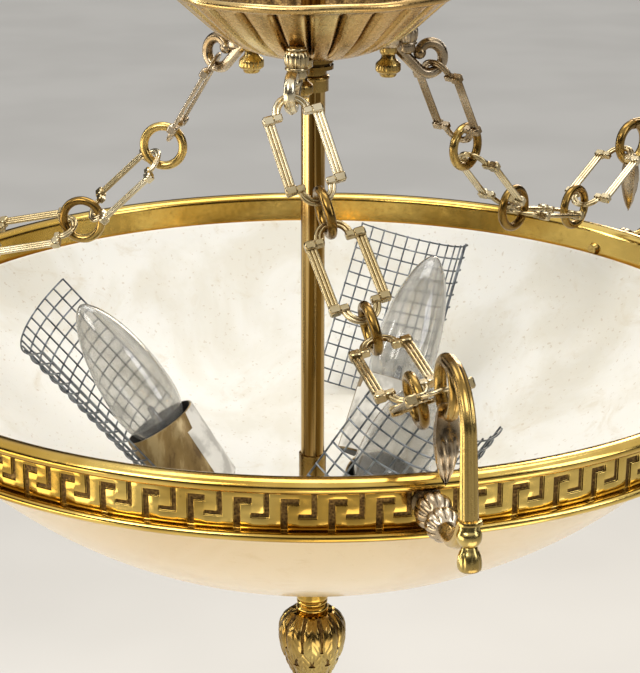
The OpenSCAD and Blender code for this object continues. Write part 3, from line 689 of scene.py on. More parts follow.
class PendantSizes(bpy.types.PropertyGroup):
    """Numbers that shape the visible pieces."""

    key_repeats: bpy.props.IntProperty(name="Key repeats", description="Repeats of the key round the rim",
                                       default=72, min=12, max=120)
    key_depth: bpy.props.FloatProperty(name="Key depth", description="Depth of the sunken key lines",
                                       default=0.001, unit="LENGTH", subtype="DISTANCE")
    flutes: bpy.props.IntProperty(name="Flutes", description="Flutes round the corona",
                                  default=26, min=6, max=48)
    flute_depth: bpy.props.FloatProperty(name="Flute depth", description="Depth of the creases",
                                         default=0.0027, unit="LENGTH", subtype="DISTANCE")
    petals: bpy.props.IntProperty(name="Petals", description="Large petals round the bottom finial",
                                  default=10, min=4, max=16)
    guard_wire: bpy.props.FloatProperty(name="Guard wire", description="Thickness of the guards' wires",
                                        default=0.001, unit="LENGTH", subtype="DISTANCE")
    floor_drop: bpy.props.FloatProperty(name="Floor drop", description="Distance of the floor below the eye",
                                        default=0.95, unit="LENGTH", subtype="DISTANCE")


class PendantColours(bpy.types.PropertyGroup):
    """Main colours of the finishes, as linear values."""

    polished: bpy.props.FloatVectorProperty(name="Polished brass", description="Bright tone of rim and cup",
                                            subtype="COLOR", min=0.0, max=1.0, default=colour("#e2c26c")[:3])
    pale: bpy.props.FloatVectorProperty(name="Rubbed brass", description="Bright tone of the chains' links",
                                        subtype="COLOR", min=0.0, max=1.0, default=colour("#e0d3b4")[:3])
    glass_inside: bpy.props.FloatVectorProperty(name="Glass inside", description="Tone of its inner face",
                                                subtype="COLOR", min=0.0, max=1.0,
                                                default=colour("#e0ded6")[:3])
    glass_outside: bpy.props.FloatVectorProperty(name="Glass outside", description="Tone of its outer face",
                                                 subtype="COLOR", min=0.0, max=1.0,
                                                 default=colour("#dcc9a1")[:3])


def sizes():
    """The sizes that the scene is built with."""
    return bpy.context.scene.pendant_sizes


# Rim

# Heights here and below are over the rim's top
KEY_FACE = 232.0
KEY_TOP, KEY_LOW = -8.6, -25.5
KEY_START = -33.33
# Lines between the cells of one repeat, as shares of its width and height
KEY_COLUMNS = (0.0, 0.155, 0.365, 0.40, 0.646, 0.77, 1.0)
KEY_ROWS = (0.0, 0.168, 0.354, 0.584, 0.721, 1.0)
# Sunken cells of one repeat, as (first column, last column, first row, last row)
KEY_LINES = ((0.0, 0.155, 0.168, 1.0), (0.0, 0.40, 0.168, 0.354), (0.646, 0.77, 0.0, 0.721),
             (0.365, 0.77, 0.584, 0.721))
TOP_BEAD_R, TOP_BEAD_Z, TOP_BEAD_WIDE, TOP_BEAD_HIGH = 234.6, -4.0, 5.3, 3.6
LOW_BEAD_R, LOW_BEAD_Z, LOW_BEAD_WIRE = 235.3, -27.7, 2.1
RIM_FOOT, LEDGE_R, LEDGE_Z, RIM_INSIDE = -29.6, 221.0, -28.9, 229.0
# The bevel's width in millimetres, the least angle that it softens and its segments
RIM_BEVEL = (0.16, 62, 2)


def sunken(column, row):
    """Whether a spot of the repeat lies in a sunken line."""
    return any(a <= column < b and c <= row < d for a, b, c, d in KEY_LINES)


def build_rim():
    """The band with its key pattern between two beads, cell by cell, and its plain inner side."""
    repeats = sizes().key_repeats
    low_r = KEY_FACE - sizes().key_depth / MM
    azimuths = [KEY_START + 360.0 / repeats * (k + f) for k in range(repeats) for f in KEY_COLUMNS[:-1]]
    count = len(azimuths)
    shape = Shape()
    levels = [KEY_TOP + (KEY_LOW - KEY_TOP) * f for f in KEY_ROWS]

    def cell(*spots, slot=1):
        shape.add([polar(*spot) for spot in spots], [(0, 1, 2, 3)], slot=slot)

    def middle_of(column):
        column %= len(KEY_COLUMNS) - 1
        return (KEY_COLUMNS[column] + KEY_COLUMNS[column + 1]) / 2

    for i in range(count):
        a, b = azimuths[i], azimuths[(i + 1) % count]
        middle, following = middle_of(i), middle_of(i + 1)
        for j in range(len(levels) - 1):
            row = (KEY_ROWS[j] + KEY_ROWS[j + 1]) / 2
            down = sunken(middle, row)
            r = low_r if down else KEY_FACE
            top, foot = levels[j], levels[j + 1]
            cell((r, a, top), (r, b, top), (r, b, foot), (r, a, foot), slot=int(down))
            if down != sunken(following, row):
                cell((low_r, b, top), (KEY_FACE, b, top), (KEY_FACE, b, foot), (low_r, b, foot))
            below = sunken(middle, (KEY_ROWS[j + 1] + KEY_ROWS[j + 2]) / 2) if j < len(levels) - 2 else True
            if down != below:
                cell((low_r, a, foot), (low_r, b, foot), (KEY_FACE, b, foot), (KEY_FACE, a, foot))
            if j == 0 and not down:
                cell((low_r, a, top), (low_r, b, top), (KEY_FACE, b, top), (KEY_FACE, a, top))
    # The rest of the section, from the key's foot round the ledge and the beads to its top
    section = [(low_r, KEY_LOW), (low_r, -26.0), (232.4, -26.2)]
    section += arc((LOW_BEAD_R, LOW_BEAD_Z), LOW_BEAD_WIRE, 140, -95, 14)
    section += [(231.0, RIM_FOOT), (LEDGE_R, RIM_FOOT), (LEDGE_R, LEDGE_Z), (RIM_INSIDE, LEDGE_Z)]
    section += [(RIM_INSIDE + 0.2, -4.4)]
    section += [(TOP_BEAD_R + TOP_BEAD_WIDE * x, TOP_BEAD_Z + TOP_BEAD_HIGH * y)
                for x, y in arc((0, 0), 1, 175, -65, 26)]
    cove = [(TOP_BEAD_R, -7.4), (232.6, -7.3), (231.6, -7.7), (low_r, KEY_TOP)]
    shape.grid(around(section, azimuths), ends=False)
    shape.grid(around(section[-1:] + cove, azimuths), ends=False, slot=1)
    rim = make_piece("rim", shape, [material("polished"), material("ground_and_shade")], bevel=RIM_BEVEL, crease=50)
    fit(rim, MAIN_BODY, "polished_brass", "rim_band")


# Bowl

SPHERE_R, SPHERE_Z, GLASS = 274.972, 134.972, 5.0
FLANGE_R, FLANGE_TOP, FLANGE_FOOT = 226.0, -17.0, -28.0


def sphere_arc(radius, low_r, high_r, steps):
    """Points of a sphere's side from one distance from the axis to another."""
    a, b = asin(low_r / radius), asin(high_r / radius)
    angles = [a + (b - a) * i / steps for i in range(steps + 1)]
    return [(radius * sin(angle), SPHERE_Z - radius * cos(angle)) for angle in angles]


def build_bowl():
    """The inner face runs up to the glass's top edge in one sweep, and the outer one has a step."""
    hole = corners("rod")[1].x + 2.0
    inner = sphere_arc(SPHERE_R - GLASS, 223.6, hole, 64)
    under = sphere_arc(SPHERE_R, hole, 220.6, 64)
    edge = [(221.3, FLANGE_FOOT), (FLANGE_R, FLANGE_FOOT), (FLANGE_R, FLANGE_TOP), (225.4, -16.2)]
    shape = Shape()
    azimuths = full_circle(240)
    shape.grid(around(edge[-1:] + inner, azimuths), ends=False, slot=0)
    shape.grid(around(inner[-1:] + under + edge, azimuths), ends=False, slot=1)
    bowl = make_piece("glass_bowl", shape, [material("opal_in"), material("opal_out")], crease=45)
    fit(bowl, MAIN_BODY, "opal_glass", "bowl")


# Corona

ARM_AZIMUTH = -9.0
CORONA_Z, CORONA_R, CORONA_SLOPE, CURVE_R, CURVE_START = 132.5, 73.0, 42.0, 71.0, 8.0
DISH_WALL, LIP_WIRE, CREASE, FLUTES_START, FLUTES_FULL = 2.0, 2.3, 0.19, 33.0, 44.0


def corona_height(r):
    """The dish's underside: flat at the rod, then an arc, then a straight slope."""
    s = (r - CURVE_START) / CURVE_R
    if s <= 0:
        return CORONA_Z
    slope = radians(CORONA_SLOPE)
    if s < sin(slope):
        return CORONA_Z + CURVE_R * (1 - cos(asin(s)))
    return CORONA_Z + CURVE_R * (1 - cos(slope) + (s - sin(slope)) * tan(slope))


def build_corona():
    """The fluted dish with a rolled and slightly beaten lip, bright outside and dull inside."""
    flutes = sizes().flutes
    depth = sizes().flute_depth / MM
    per_flute = 18
    azimuths = [ARM_AZIMUTH + 360.0 * (k / per_flute + 0.5) / flutes for k in range(flutes * per_flute)]
    slope = radians(CORONA_SLOPE)
    rise = DISH_WALL / cos(slope)
    lip_z = corona_height(CORONA_R)

    def fluted(r, a):
        """Depth of the surface at this radius: broad round flutes with a narrow crease between them."""
        phase = ((a - ARM_AZIMUTH) / 360.0 * flutes - 0.5) % 1.0
        from_crease = min(phase, 1 - phase) * 2
        groove = exp(-(from_crease / CREASE) ** 2) + 0.35 * (1 - sqrt(1 - (1 - from_crease) ** 2))
        fade = smooth(FLUTES_START, FLUTES_FULL, r) * (1 - smooth(CORONA_R - 3.5, CORONA_R - 1.0, r))
        return depth * groove * fade

    def dish(r, a, share, over):
        """A point of the dish with a share of the crease's depth, over its underside."""
        d = fluted(r, a) * share
        return polar(r - d * sin(slope), a, corona_height(r) + over + d * cos(slope))

    radii = [6.4, 8.0, 10.0, 12.0, 14.5, 18.0, 22.0, 26.0, 30.0, 33.0, 36.0, 38.0, 40.0, 42.0, 45.0, 48.0,
             51.0, 54.0, 57.0, 60.0, 63.0, 66.0, 68.0, 69.5, 70.5, 71.3]
    shape = Shape()
    outside = [[dish(r, a, 1.0, 0.0) for a in azimuths] for r in radii]
    lip = []
    for r, z in arc((CORONA_R - 0.2, lip_z + rise / 2), LIP_WIRE, -105, 150, 14):
        row = []
        for a in azimuths:
            wave_r = 0.22 * sin(radians(a * 7)) + 0.15 * sin(radians(a * 13 + 40))
            wave_z = 0.25 * sin(radians(a * 5 + 20)) + 0.18 * sin(radians(a * 11))
            row.append(polar(r + wave_r, a, z + wave_z))
        lip.append(row)
    shape.grid(outside + lip, ends=False)
    inside = [[dish(r, a, 0.6, rise - 0.4) for a in azimuths] for r in reversed(radii[:-1])]
    shape.grid([lip[-1]] + inside + [outside[0]], ends=False, slot=1)
    corona = make_piece("corona_dish", shape, [material("spun"), material("ground_and_shade")], crease=60)
    fit(corona, MAIN_BODY, "polished_brass", "corona")


SCREW_R, HOOK_X, HOOK_Z, HOOK_BEND, ARM_WIRE = 41.5, 64.5, 127.0, 7.9, 5.8
BAR_LENGTH, CURL_R, CUP_OUT, CUP_Z, NUT_Z = 19.5, 5.5, 10.0, 140.6, 119.0


def ribbed_cup(r, z, a):
    """Twelve upright ribs between the cup's foot ring and its shoulder."""
    return (r * (1 - 0.08 * (1 - abs(sin(6 * a))) ** 2) if -3.7 < z < 4.2 else r), z


def build_corona_arms():
    """Each arm's pad, ribbed cup, S-shaped bar and curl."""
    pad = [(0.0, 134.5), (5.6, 134.5), (6.4, 135.2), (6.4, 138.6), (5.0, 139.4), (0.0, 139.4)]
    cup = [(0.0, -5.6), (4.6, -5.6), (5.6, -5.1), (5.7, -4.3), (5.2, -3.8), (5.8, -2.4), (6.15, 0.0),
           (6.0, 2.2), (5.3, 4.0), (4.6, 4.5), (4.9, 5.0), (4.6, 5.7), (2.8, 6.3), (0.0, 6.5)]
    cup_foot = [(3.4, -9.4), (4.6, -9.2), (5.0, -8.0), (4.6, -5.4), (3.8, -5.4)]
    for k in CHAINS:
        place = outward(ARM_AZIMUTH + (k - 1) * THIRD)
        shape = Shape()
        # Pad that the nut draws up against the corona
        shape.revolve(pad, 32, place @ Matrix.Translation((SCREW_R, 0, 0)))
        # Ribbed cup of the leaf that curls over the arm's root, with a dark ball under it as painted shade in
        # the hollow there
        middle = place @ Matrix.Translation((SCREW_R + CUP_OUT, 0, CUP_Z))
        shape.revolve(cup, 120, middle, change=ribbed_cup)
        shape.revolve(cup_foot, 48, middle, closed=True)
        shape.ball((0.0, 0.0, -7.6), 3.9, middle, slot=1)
        # S-shaped bar, hook and curl, with a ball in the curl
        end = (HOOK_X - HOOK_BEND * sin(pi / 4), HOOK_Z - HOOK_BEND * cos(pi / 4))
        start = (end[0] - BAR_LENGTH * cos(pi / 4), end[1] + BAR_LENGTH * sin(pi / 4))
        path = [start] + straight(start, end, 8)[:-1]
        path += arc((HOOK_X, HOOK_Z), HOOK_BEND, -135, 90, 40)
        path += arc((HOOK_X, HOOK_Z + HOOK_BEND - CURL_R), CURL_R, 90, 170, 14)[1:]
        shape.sweep([(x, 0, z) for x, z in path], ARM_WIRE / 2 - 0.05, 30, place, ribs=(6, 0.035))
        shape.ball((HOOK_X - 5.4, 0, HOOK_Z + HOOK_BEND - 4.6), 3.5, place)
        metal = material("pale" if k == 1 else "bronze")
        arm = make_piece(f"corona_scroll_{k}", shape, [metal, material("ground_and_shade")], crease=55)
        fit(arm, MAIN_BODY, "pale_brass", f"corona_arm_{k}")


def build_arm_nuts():
    """Turned nuts with a knurled grip under the corona."""
    profile = [(0, 0), (3.6, 0), (4.2, 0.5), (4.6, 1.7), (5.6, 2.4), (6.4, 3.0), (6.6, 3.8), (6.6, 6.4),
               (6.2, 7.2), (4.4, 8.8), (3.7, 10.0), (3.6, 11.4), (4.4, 12.4), (4.6, 13.2), (4.6, 15.2),
               (4.3, 15.5), (0, 15.5)]

    def knurled(r, z, a):
        grip = 0.28 if 2.8 < z < 6.9 and r > 5 else 0.0
        return r - grip * (0.5 + 0.5 * cos(24 * a)), z

    motif = Shape()
    motif.revolve(profile, 96, change=knurled)
    spots = [polar(SCREW_R, ARM_AZIMUTH + (k - 1) * THIRD, NUT_Z) * MM for k in CHAINS]
    nuts = copies("arm_finial_nuts", motif, [Matrix.Translation(spot) for spot in spots], "aged", crease=35)
    fit(nuts, MAIN_BODY, "polished_brass", "arm_nuts")


# Chains

LINK_IN, BAR_GAP, BAR_LONG, REED, REED_STEP = 49.2, 24.5, 36.2, 1.92, 1.72
BOW_IN, BOW_WIRE, BOW_WIDE = 5.6, 2.1, 4.0
BAR_COLLAR, BAR_COLLAR_IN = (4.6, 5.6, 4.8), 6.8
BOW_COLLAR, BOW_COLLAR_IN = (3.6, 4.6, 4.0), 6.5
RING_HOLE, RING_WIRE = 17.0, 4.8


def link_shape():
    """One link about its middle, X along it and Y across it: reeded bars, collars and double-wire bows."""
    shape = Shape()
    end = LINK_IN / 2 - BOW_IN
    for side in (-1, 1):
        for reed in (-1, 0, 1):
            y = side * BAR_GAP / 2 + reed * REED_STEP
            shape.sweep([(x, y, 0) for x in (-BAR_LONG / 2, BAR_LONG / 2)], REED / 2, 14, side=(0, 0, 1))
        for way in (-1, 1):
            shape.block((way * (LINK_IN / 2 - BAR_COLLAR_IN), side * BAR_GAP / 2, 0), BAR_COLLAR)
            bow_side = side * (BOW_IN + BOW_WIDE / 2)
            shape.block((way * (LINK_IN / 2 - BOW_COLLAR_IN), bow_side, 0), BOW_COLLAR)
    for way in (-1, 1):
        for wire in (-1, 1):
            r = BOW_IN + BOW_WIDE / 2 + wire * (BOW_WIDE - BOW_WIRE) / 2
            path = [(way * (end + x), y, 0) for x, y in arc((0, 0), r, -90, 90, 28)]
            shape.sweep(path, BOW_WIRE / 2, 14, side=(0, 0, 1))
    return shape


def ring_shape():
    """One plain ring about its middle."""
    wire = RING_WIRE / 2 - 0.03
    shape = Shape()
    shape.revolve(arc(((RING_HOLE + RING_WIRE) / 2, 0), wire, 0, 360, 20)[:-1], 64, closed=True)
    return shape


def build_chains():
    """Four links and three rings on each chain, each where its own part lies."""
    for k in CHAINS:
        # The front chain is pale all along, and the others are darker bronze at their top link
        groups = ((1, 4, "pale"),) if k == 1 else ((1, 1, "bronze"), (2, 4, "pale"))
        for first, last, key in groups:
            names = [f"chain_{k}_link_{n}" for n in range(first, last + 1)]
            places = [node_place(name) for name in names]
            links = copies(f"chain_{k}_links_{first}", link_shape(), places, key, crease=38)
            fit(links, f"chain_{k}", "pale_brass", *names)
        for n in (1, 2, 3):
            place = node_place(f"chain_{k}_ring_{n}")
            ring = copies(f"chain_{k}_small_ring_{n}", ring_shape(), [place], "aged")
            fit(ring, f"chain_{k}_ring_{n}_body", "aged_brass", f"chain_{k}_ring_{n}")


# Brackets

BRACKET_AZIMUTH = 12.0
LOOP_X, LOOP_Z, LOOP_BEND, LOOP_WIRE = 259.4, 47.0, 11.25, 5.5
ARCH_R, ARCH_SHIFT = 22.6, 8.0
UPRIGHT_END = (294.19, 2.66)
UPRIGHT_TURN = 83.0
NECK_X, NECK_R, NECK_FOOT, NECK_RISE, NECK_END = 268.5, 20.0, -14.0, 62.0, 12.0
UPRIGHT_HALF, NECK_HALF = 3.1, 3.45
LEAF_LENGTH = 36.0


def in_plane(azimuth):
    """Local X runs outward from the axis and Y up from the rim's top."""
    return outward(azimuth) @ Matrix.Rotation(pi / 2, 4, "X")


def below_upright(k):
    """Local Z runs down out of the lower end of a bracket's upright."""
    return in_plane(BRACKET_AZIMUTH + (k - 1) * THIRD) @ Matrix.Translation((*UPRIGHT_END, 0)) \
        @ Matrix.Rotation(radians(-UPRIGHT_TURN), 4, "Z") @ Matrix.Rotation(pi / 2, 4, "Y")


def hanging_leaf(outer):
    """One face of the cast leaf below a bracket's loop, hollow in its upper half."""
    def point(u, v):
        half = 5.1 * sin(pi * min(1.0, 0.16 + 0.86 * u)) ** 0.62
        hollow = 3.2 * (1 - v * v) * exp(-((u - 0.26) / 0.2) ** 2)
        belly = 3.6 * sin(pi * min(1.0, 0.1 + 0.9 * u)) * (1 - 0.35 * v * v)
        rib = (0.5 * cos(v * pi * 3 + 9 * u) + 0.25 * cos(31 * u)) * smooth(0.35, 0.55, u)
        proud = belly + rib - hollow if outer else -belly * 0.8
        return LOOP_X + proud, LOOP_Z - LOOP_BEND + 4.5 - LEAF_LENGTH * u, v * half
    return point


def build_brackets():
    """Each bracket's chain loop, arched upright, cuff and neck, and the leaf that hangs from the loop."""
    flat = (0, 0, 1)
    for k in CHAINS:
        place = in_plane(BRACKET_AZIMUTH + (k - 1) * THIRD)
        shape = Shape()
        # Loop for the chain
        loop = arc((LOOP_X, LOOP_Z), LOOP_BEND, 0, 360, 48)[:-1]
        shape.sweep([(x, y, 0) for x, y in loop], LOOP_WIRE / 2 - 0.02, 20, place, side=flat, closed=True)
        # Bar that rises from the loop, bends over and widens as it comes down
        crown = LOOP_Z + LOOP_BEND
        path = [(LOOP_X + ARCH_SHIFT * i / 6, crown) for i in range(6)]
        path += arc((LOOP_X + ARCH_SHIFT, crown - ARCH_R), ARCH_R, 90, 7, 26)
        path += straight(path[-1], UPRIGHT_END, 16)

        def thick(t):
            return UPRIGHT_HALF + 0.45 * smooth(0.45, 1.0, t)

        def wide(t):
            return 1.0 + 0.04 * smooth(0.5, 0.95, t)

        shape.sweep([(x, y, 0) for x, y in path], thick, 48, place, side=flat, wide=wide, ribs=(8, 0.06))
        cuff = [(4.0, -1.9), (5.0, -1.7), (5.3, -0.9), (5.2, -0.1), (4.0, 0.4)]
        shape.revolve(cuff, 40, below_upright(k))
        # Neck from the upper bead of the boss
        neck = [(NECK_X - 4.0 + i, NECK_FOOT) for i in range(4)]
        neck += arc((NECK_X, NECK_FOOT + NECK_R), NECK_R, -90, NECK_RISE - 90, 20)
        rise = radians(NECK_RISE)
        x, y = neck[-1]
        neck += straight((x, y), (x + NECK_END * cos(rise), y + NECK_END * sin(rise)), 6)
        shape.sweep([(x, y, 0) for x, y in neck], NECK_HALF, 32, place, side=flat, ribs=(8, 0.05))
        bracket = make_piece(f"bracket_scroll_{k}", shape, [material("aged")], crease=50)
        fit(bracket, MAIN_BODY, "aged_brass", f"bracket_{k}")
        leaf = Shape()
        leaf.leaf(hanging_leaf(True), hanging_leaf(False), 40, 30, place)
        drop = make_piece(f"bracket_leaf_{k}", leaf, [material("bronze")], crease=50)
        fit(drop, MAIN_BODY, "aged_brass")


# Middle and radius of each melon bead along its tube
BEADS = ((11.5, 8.5), (25.0, 7.5))


def build_bosses():
    """Two melon beads on a tube between the rim and each bracket."""
    profile = [(0.0, 0.0), (6.0, 0.0), (7.0, 0.4), (7.0, 2.0), (5.6, 2.6)]
    for centre, r in BEADS:
        for i in range(25):
            a = pi * (0.13 + 0.74 * i / 24)
            profile.append((r * sin(a), centre - r * cos(a)))
    profile += [(4.6, 32.3), (0.0, 32.5)]

    def melon(r, z, a):
        near = min(abs(z - centre) for centre, _ in BEADS)
        rib = 0.8 * (1 - smooth(5.0, 8.0, near)) if r > 5 else 0.0
        return r - rib * (1 - abs(sin(5 * a))) ** 1.5, z

    motif = Shape()
    motif.revolve(profile, 140, change=melon)
    places = []
    for k in CHAINS:
        azimuth = BRACKET_AZIMUTH + (k - 1) * THIRD
        place = outward(azimuth, KEY_FACE, NECK_FOOT) @ Matrix.Rotation(pi / 2, 4, "Y")
        place.translation *= MM
        places.append(place)
    bosses = copies("bracket_beads", motif, places, "bronze", crease=45)
    fit(bosses, MAIN_BODY, "pale_brass", "bracket_bosses")


def build_bracket_drops():
    """Ball and bell below each bracket's upright."""
    profile = [(0.0, -0.6), (3.6, -0.6), (4.2, 0.4)]
    profile += [(5.1 * sin(pi * t / 20), 4.9 - 5.1 * cos(pi * t / 20)) for t in range(6, 17)]
    profile += [(3.3, 9.6), (3.4, 10.2), (4.0, 11.2), (4.6, 12.8), (4.9, 15.0), (4.9, 17.2), (4.6, 18.4),
                (3.8, 19.1), (2.2, 19.5), (0.0, 19.6)]

    def petalled(r, z, a):
        return (r * (1 - 0.07 * (1 - abs(sin(4 * a))) ** 2) if 10.5 < z < 18.6 else r), z

    motif = Shape()
    motif.revolve(profile, 64, change=petalled)
    places = [below_upright(k) for k in CHAINS]
    for place in places:
        place.translation *= MM
    drops = copies("bracket_drops", motif, places, "cast", crease=40)
    fit(drops, MAIN_BODY, "aged_brass", "bracket_finials")


# Lamps

LAMP_AZIMUTH, LAMP_R, LAMP_Z, LAMP_TILT = 25.5, 84.0, -70.0, 32.0
HOLDER_R, HOLDER_LEN, HOLDER_FLOOR, HOLDER_WALL = 20.5, 46.0, -38.0, 1.4
BULB_D, BULB_FOOT_R, BULB_FOOT, BULB_WIDEST, BULB_TIP, BULB_WALL = 37.0, 6.5, -12.0, 16.0, 78.0, 0.9
CARD_AZIMUTH, CARD_WIDTH, CARD_NOTCH, CARD_THICK = 205.0, 136.0, 9.0, 0.35
# Each guard's place on its lamp (along, out, sideways), its lean, the lean's heading and its middle
GUARDS = (((64.3, -14.0, 11.4), 23.0, 106.5, -121.5), ((92.0, -0.4, 31.7), 5.0, 197.0, -198.0),
          ((85.3, -11.4, 17.5), -13.0, -116.0, 110.5))
GUARD_R, GUARD_MESH, GUARD_CELLS, GUARD_ROWS, WIRE_SIDES = 44.0, 7.6, 12, 13, 8


def on_lamp(n):
    """Local Z runs along a lamp's axis from its mouth outwards."""
    place = outward(LAMP_AZIMUTH + (n - 1) * THIRD, LAMP_R, LAMP_Z)
    return place @ Matrix.Rotation(radians(LAMP_TILT), 4, "Y")


def bulb_side():
    """The candle bulb's side from its foot to its tip."""
    half = BULB_D / 2
    below, above = BULB_WIDEST - BULB_FOOT, BULB_TIP - BULB_WIDEST
    side = []
    for i in range(11):
        swell = sin(radians(9 * i)) ** 0.6
        side.append((BULB_FOOT_R + (half - BULB_FOOT_R) * swell, BULB_FOOT + below * i / 10))
    for i in range(1, 33):
        t = sin(radians(90 * i / 32))
        side.append((0.0 if i == 32 else half * (1 - t * t) ** 0.6, BULB_WIDEST + above * t))
    return side


def circles(profile, steps):
    """Rows of points about local Z, one for each (radius, height) of a profile."""
    angles = [2 * pi * j / steps for j in range(steps)]
    return [[(r * cos(a), r * sin(a), z) for a in angles] for r, z in profile]


def build_lamps():
    """Each lamp's blown bulb, and its sleeve with a card strip on one side and painted shade in its mouth."""
    for n in CHAINS:
        place = on_lamp(n)
        shape = Shape()
        outside = bulb_side()
        inside = [(max(0.0, r - BULB_WALL), min(z, BULB_TIP - 1.0)) for r, z in outside]
        shape.revolve(outside + inside[::-1], 72, place, closed=True)
        bulb = make_piece(f"lamp_bulb_{n}", shape, [material("bulb")], crease=60)
        fit(bulb, f"lamp_{n}", "clear_glass", f"bulb_{n}")
        shape = Shape()
        tube = circles([(HOLDER_R - 0.5, -HOLDER_LEN), (HOLDER_R, -HOLDER_LEN + 0.6), (HOLDER_R, -30.0),
                        (HOLDER_R, -12.0), (HOLDER_R, -0.7), (HOLDER_R - 0.3, -0.1),
                        (HOLDER_R - 0.9, 0.0)], 96)
        shape.grid(tube, place, ends=False)
        # The sleeve's inner wall and floor take near-black painted shade, so that its mouth reads dark
        painted_shade_lining = circles([(HOLDER_R - HOLDER_WALL, -1.0), (HOLDER_R - HOLDER_WALL, HOLDER_FLOOR),
                          (4.0, HOLDER_FLOOR), (4.0, HOLDER_FLOOR - 2.0), (5.1, -HOLDER_LEN)], 96)
        shape.grid([tube[-1]] + painted_shade_lining + [tube[0]], place, ends=False, slot=2)
        strip = []
        for i in range(25):
            a = radians(CARD_AZIMUTH - CARD_WIDTH / 2 + CARD_WIDTH * i / 24)
            top = -0.4 - (CARD_NOTCH if i < 3 else 0.0)
            foot = -HOLDER_LEN + 1.0
            strip.append([((HOLDER_R + d) * cos(a), (HOLDER_R + d) * sin(a), z)
                          for d, z in ((-0.2, foot), (CARD_THICK, foot), (CARD_THICK, top), (-0.2, top))])
        shape.grid(strip, place, slot=1)
        finishes = [material("sleeve"), material("card"), material("painted_shade_lining")]
        sleeve = make_piece(f"lamp_sleeve_{n}", shape, finishes, crease=45)
        fit(sleeve, MAIN_BODY, "aged_brass", f"lampholder_{n}")


def build_guards():
    """Each guard's upright wires lie inside its cross wires, all along the edges of a curved sheet."""
    wrap = degrees(GUARD_CELLS * GUARD_MESH / GUARD_R)
    run = GUARD_ROWS * GUARD_MESH
    thick = sizes().guard_wire / MM
    upright_r = GUARD_R - thick - 0.05
    for n, (spot, tilt, heading, middle) in zip(CHAINS, GUARDS):
        place = on_lamp(n) @ Matrix.Translation((spot[1], spot[2], spot[0])) \
            @ Matrix.Rotation(radians(heading), 4, "Z") @ Matrix.Rotation(radians(tilt), 4, "Y") \
            @ Matrix.Rotation(radians(middle - wrap / 2), 4, "Z")
        lines = []
        for i in range(GUARD_CELLS + 1):
            a = radians(wrap * i / GUARD_CELLS)
            x, y = upright_r * cos(a), upright_r * sin(a)
            lines.append([place @ Vector((x, y, z)) for z in (thick / 2, -run - thick / 2)])
        for i in range(GUARD_ROWS + 1):
            bend = arc((0, 0), GUARD_R, 0, wrap, GUARD_CELLS * 4)
            lines.append([place @ Vector((x, y, -GUARD_MESH * i)) for x, y in bend])
        guard = wires(f"wire_guard_{n}", lines, thick, WIRE_SIDES, "steel")
        fit(guard, MAIN_BODY, "steel_mesh", f"mesh_guard_{n}")


# Finial and cup

FINIAL_Z, FINIAL_H, FINIAL_R, NECK_H, CUP_TOP = -172.2, 60.0, 19.7, 7.8, -141.7
CORE_R, BUD_H, BUD_WIDEST = FINIAL_R * 0.90, FINIAL_H - NECK_H, 0.22


def bud_radius(t):
    """The bud under its petals is broad just below its neck and tapers to a point."""
    if t < BUD_WIDEST:
        return CORE_R * sin(pi / 2 * (t + 0.09) / (BUD_WIDEST + 0.09)) ** 0.55
    return CORE_R * max(0.0, cos(pi / 2 * (t - BUD_WIDEST) / (1.02 - BUD_WIDEST))) ** 0.85


def build_cup():
    """The turned cup that carries the glass, with a stem down to the finial."""
    drops = [(6.4, 0.0), (15.6, 0.0), (16.0, 0.4), (16.0, 1.8), (15.2, 2.6), (12.6, 4.2), (10.2, 6.0),
             (9.0, 8.0), (8.4, 10.5), (8.2, 14.0), (8.3, 18.0), (8.6, 20.0), (8.9, 21.0), (8.2, 22.0),
             (8.3, 26.0), (8.8, 28.5), (8.8, 30.0), (8.4, 30.5), (6.4, 30.5)]
    profile = [(r, CUP_TOP - drop) for r, drop in drops]
    shape = Shape()
    shape.grid(around(profile, full_circle(64)), loop_rows=True, ends=False)
    cup = make_piece("turned_cup", shape, [material("polished")], crease=40)
    fit(cup, MAIN_BODY, "polished_brass", "bottom_cup")


def petal_face(t0, t1, half_angle, lift, thick, tip):
    """One face of a rounded leaf that lies along the bud from t0 to t1, with a midrib and side veins."""
    def point(u, v):
        t = t0 + (t1 - t0) * u
        taper = 1.0 - smooth(tip, 1.0, u) ** 1.6 * 0.97
        a = radians(half_angle) * v * taper * (0.80 + 0.20 * sin(pi * min(1.0, u / tip) / 2))
        swell = lift * sin(pi * min(1.0, u * 0.9 + 0.05)) ** 0.7
        if thick:
            midrib = 0.4 * exp(-(v / 0.12) ** 2) * (1 - 0.5 * u)
            veins = 0.30 * (0.5 + 0.5 * cos(7 * pi * (abs(v) * 0.5 - u * 1.2))) ** 3
            over = midrib - veins - 1.3 * abs(v) ** 5 + thick
        else:
            over = -1.2
        r = bud_radius(t) + swell + over
        return r * sin(a), -r * cos(a), -NECK_H - BUD_H * t
    return point


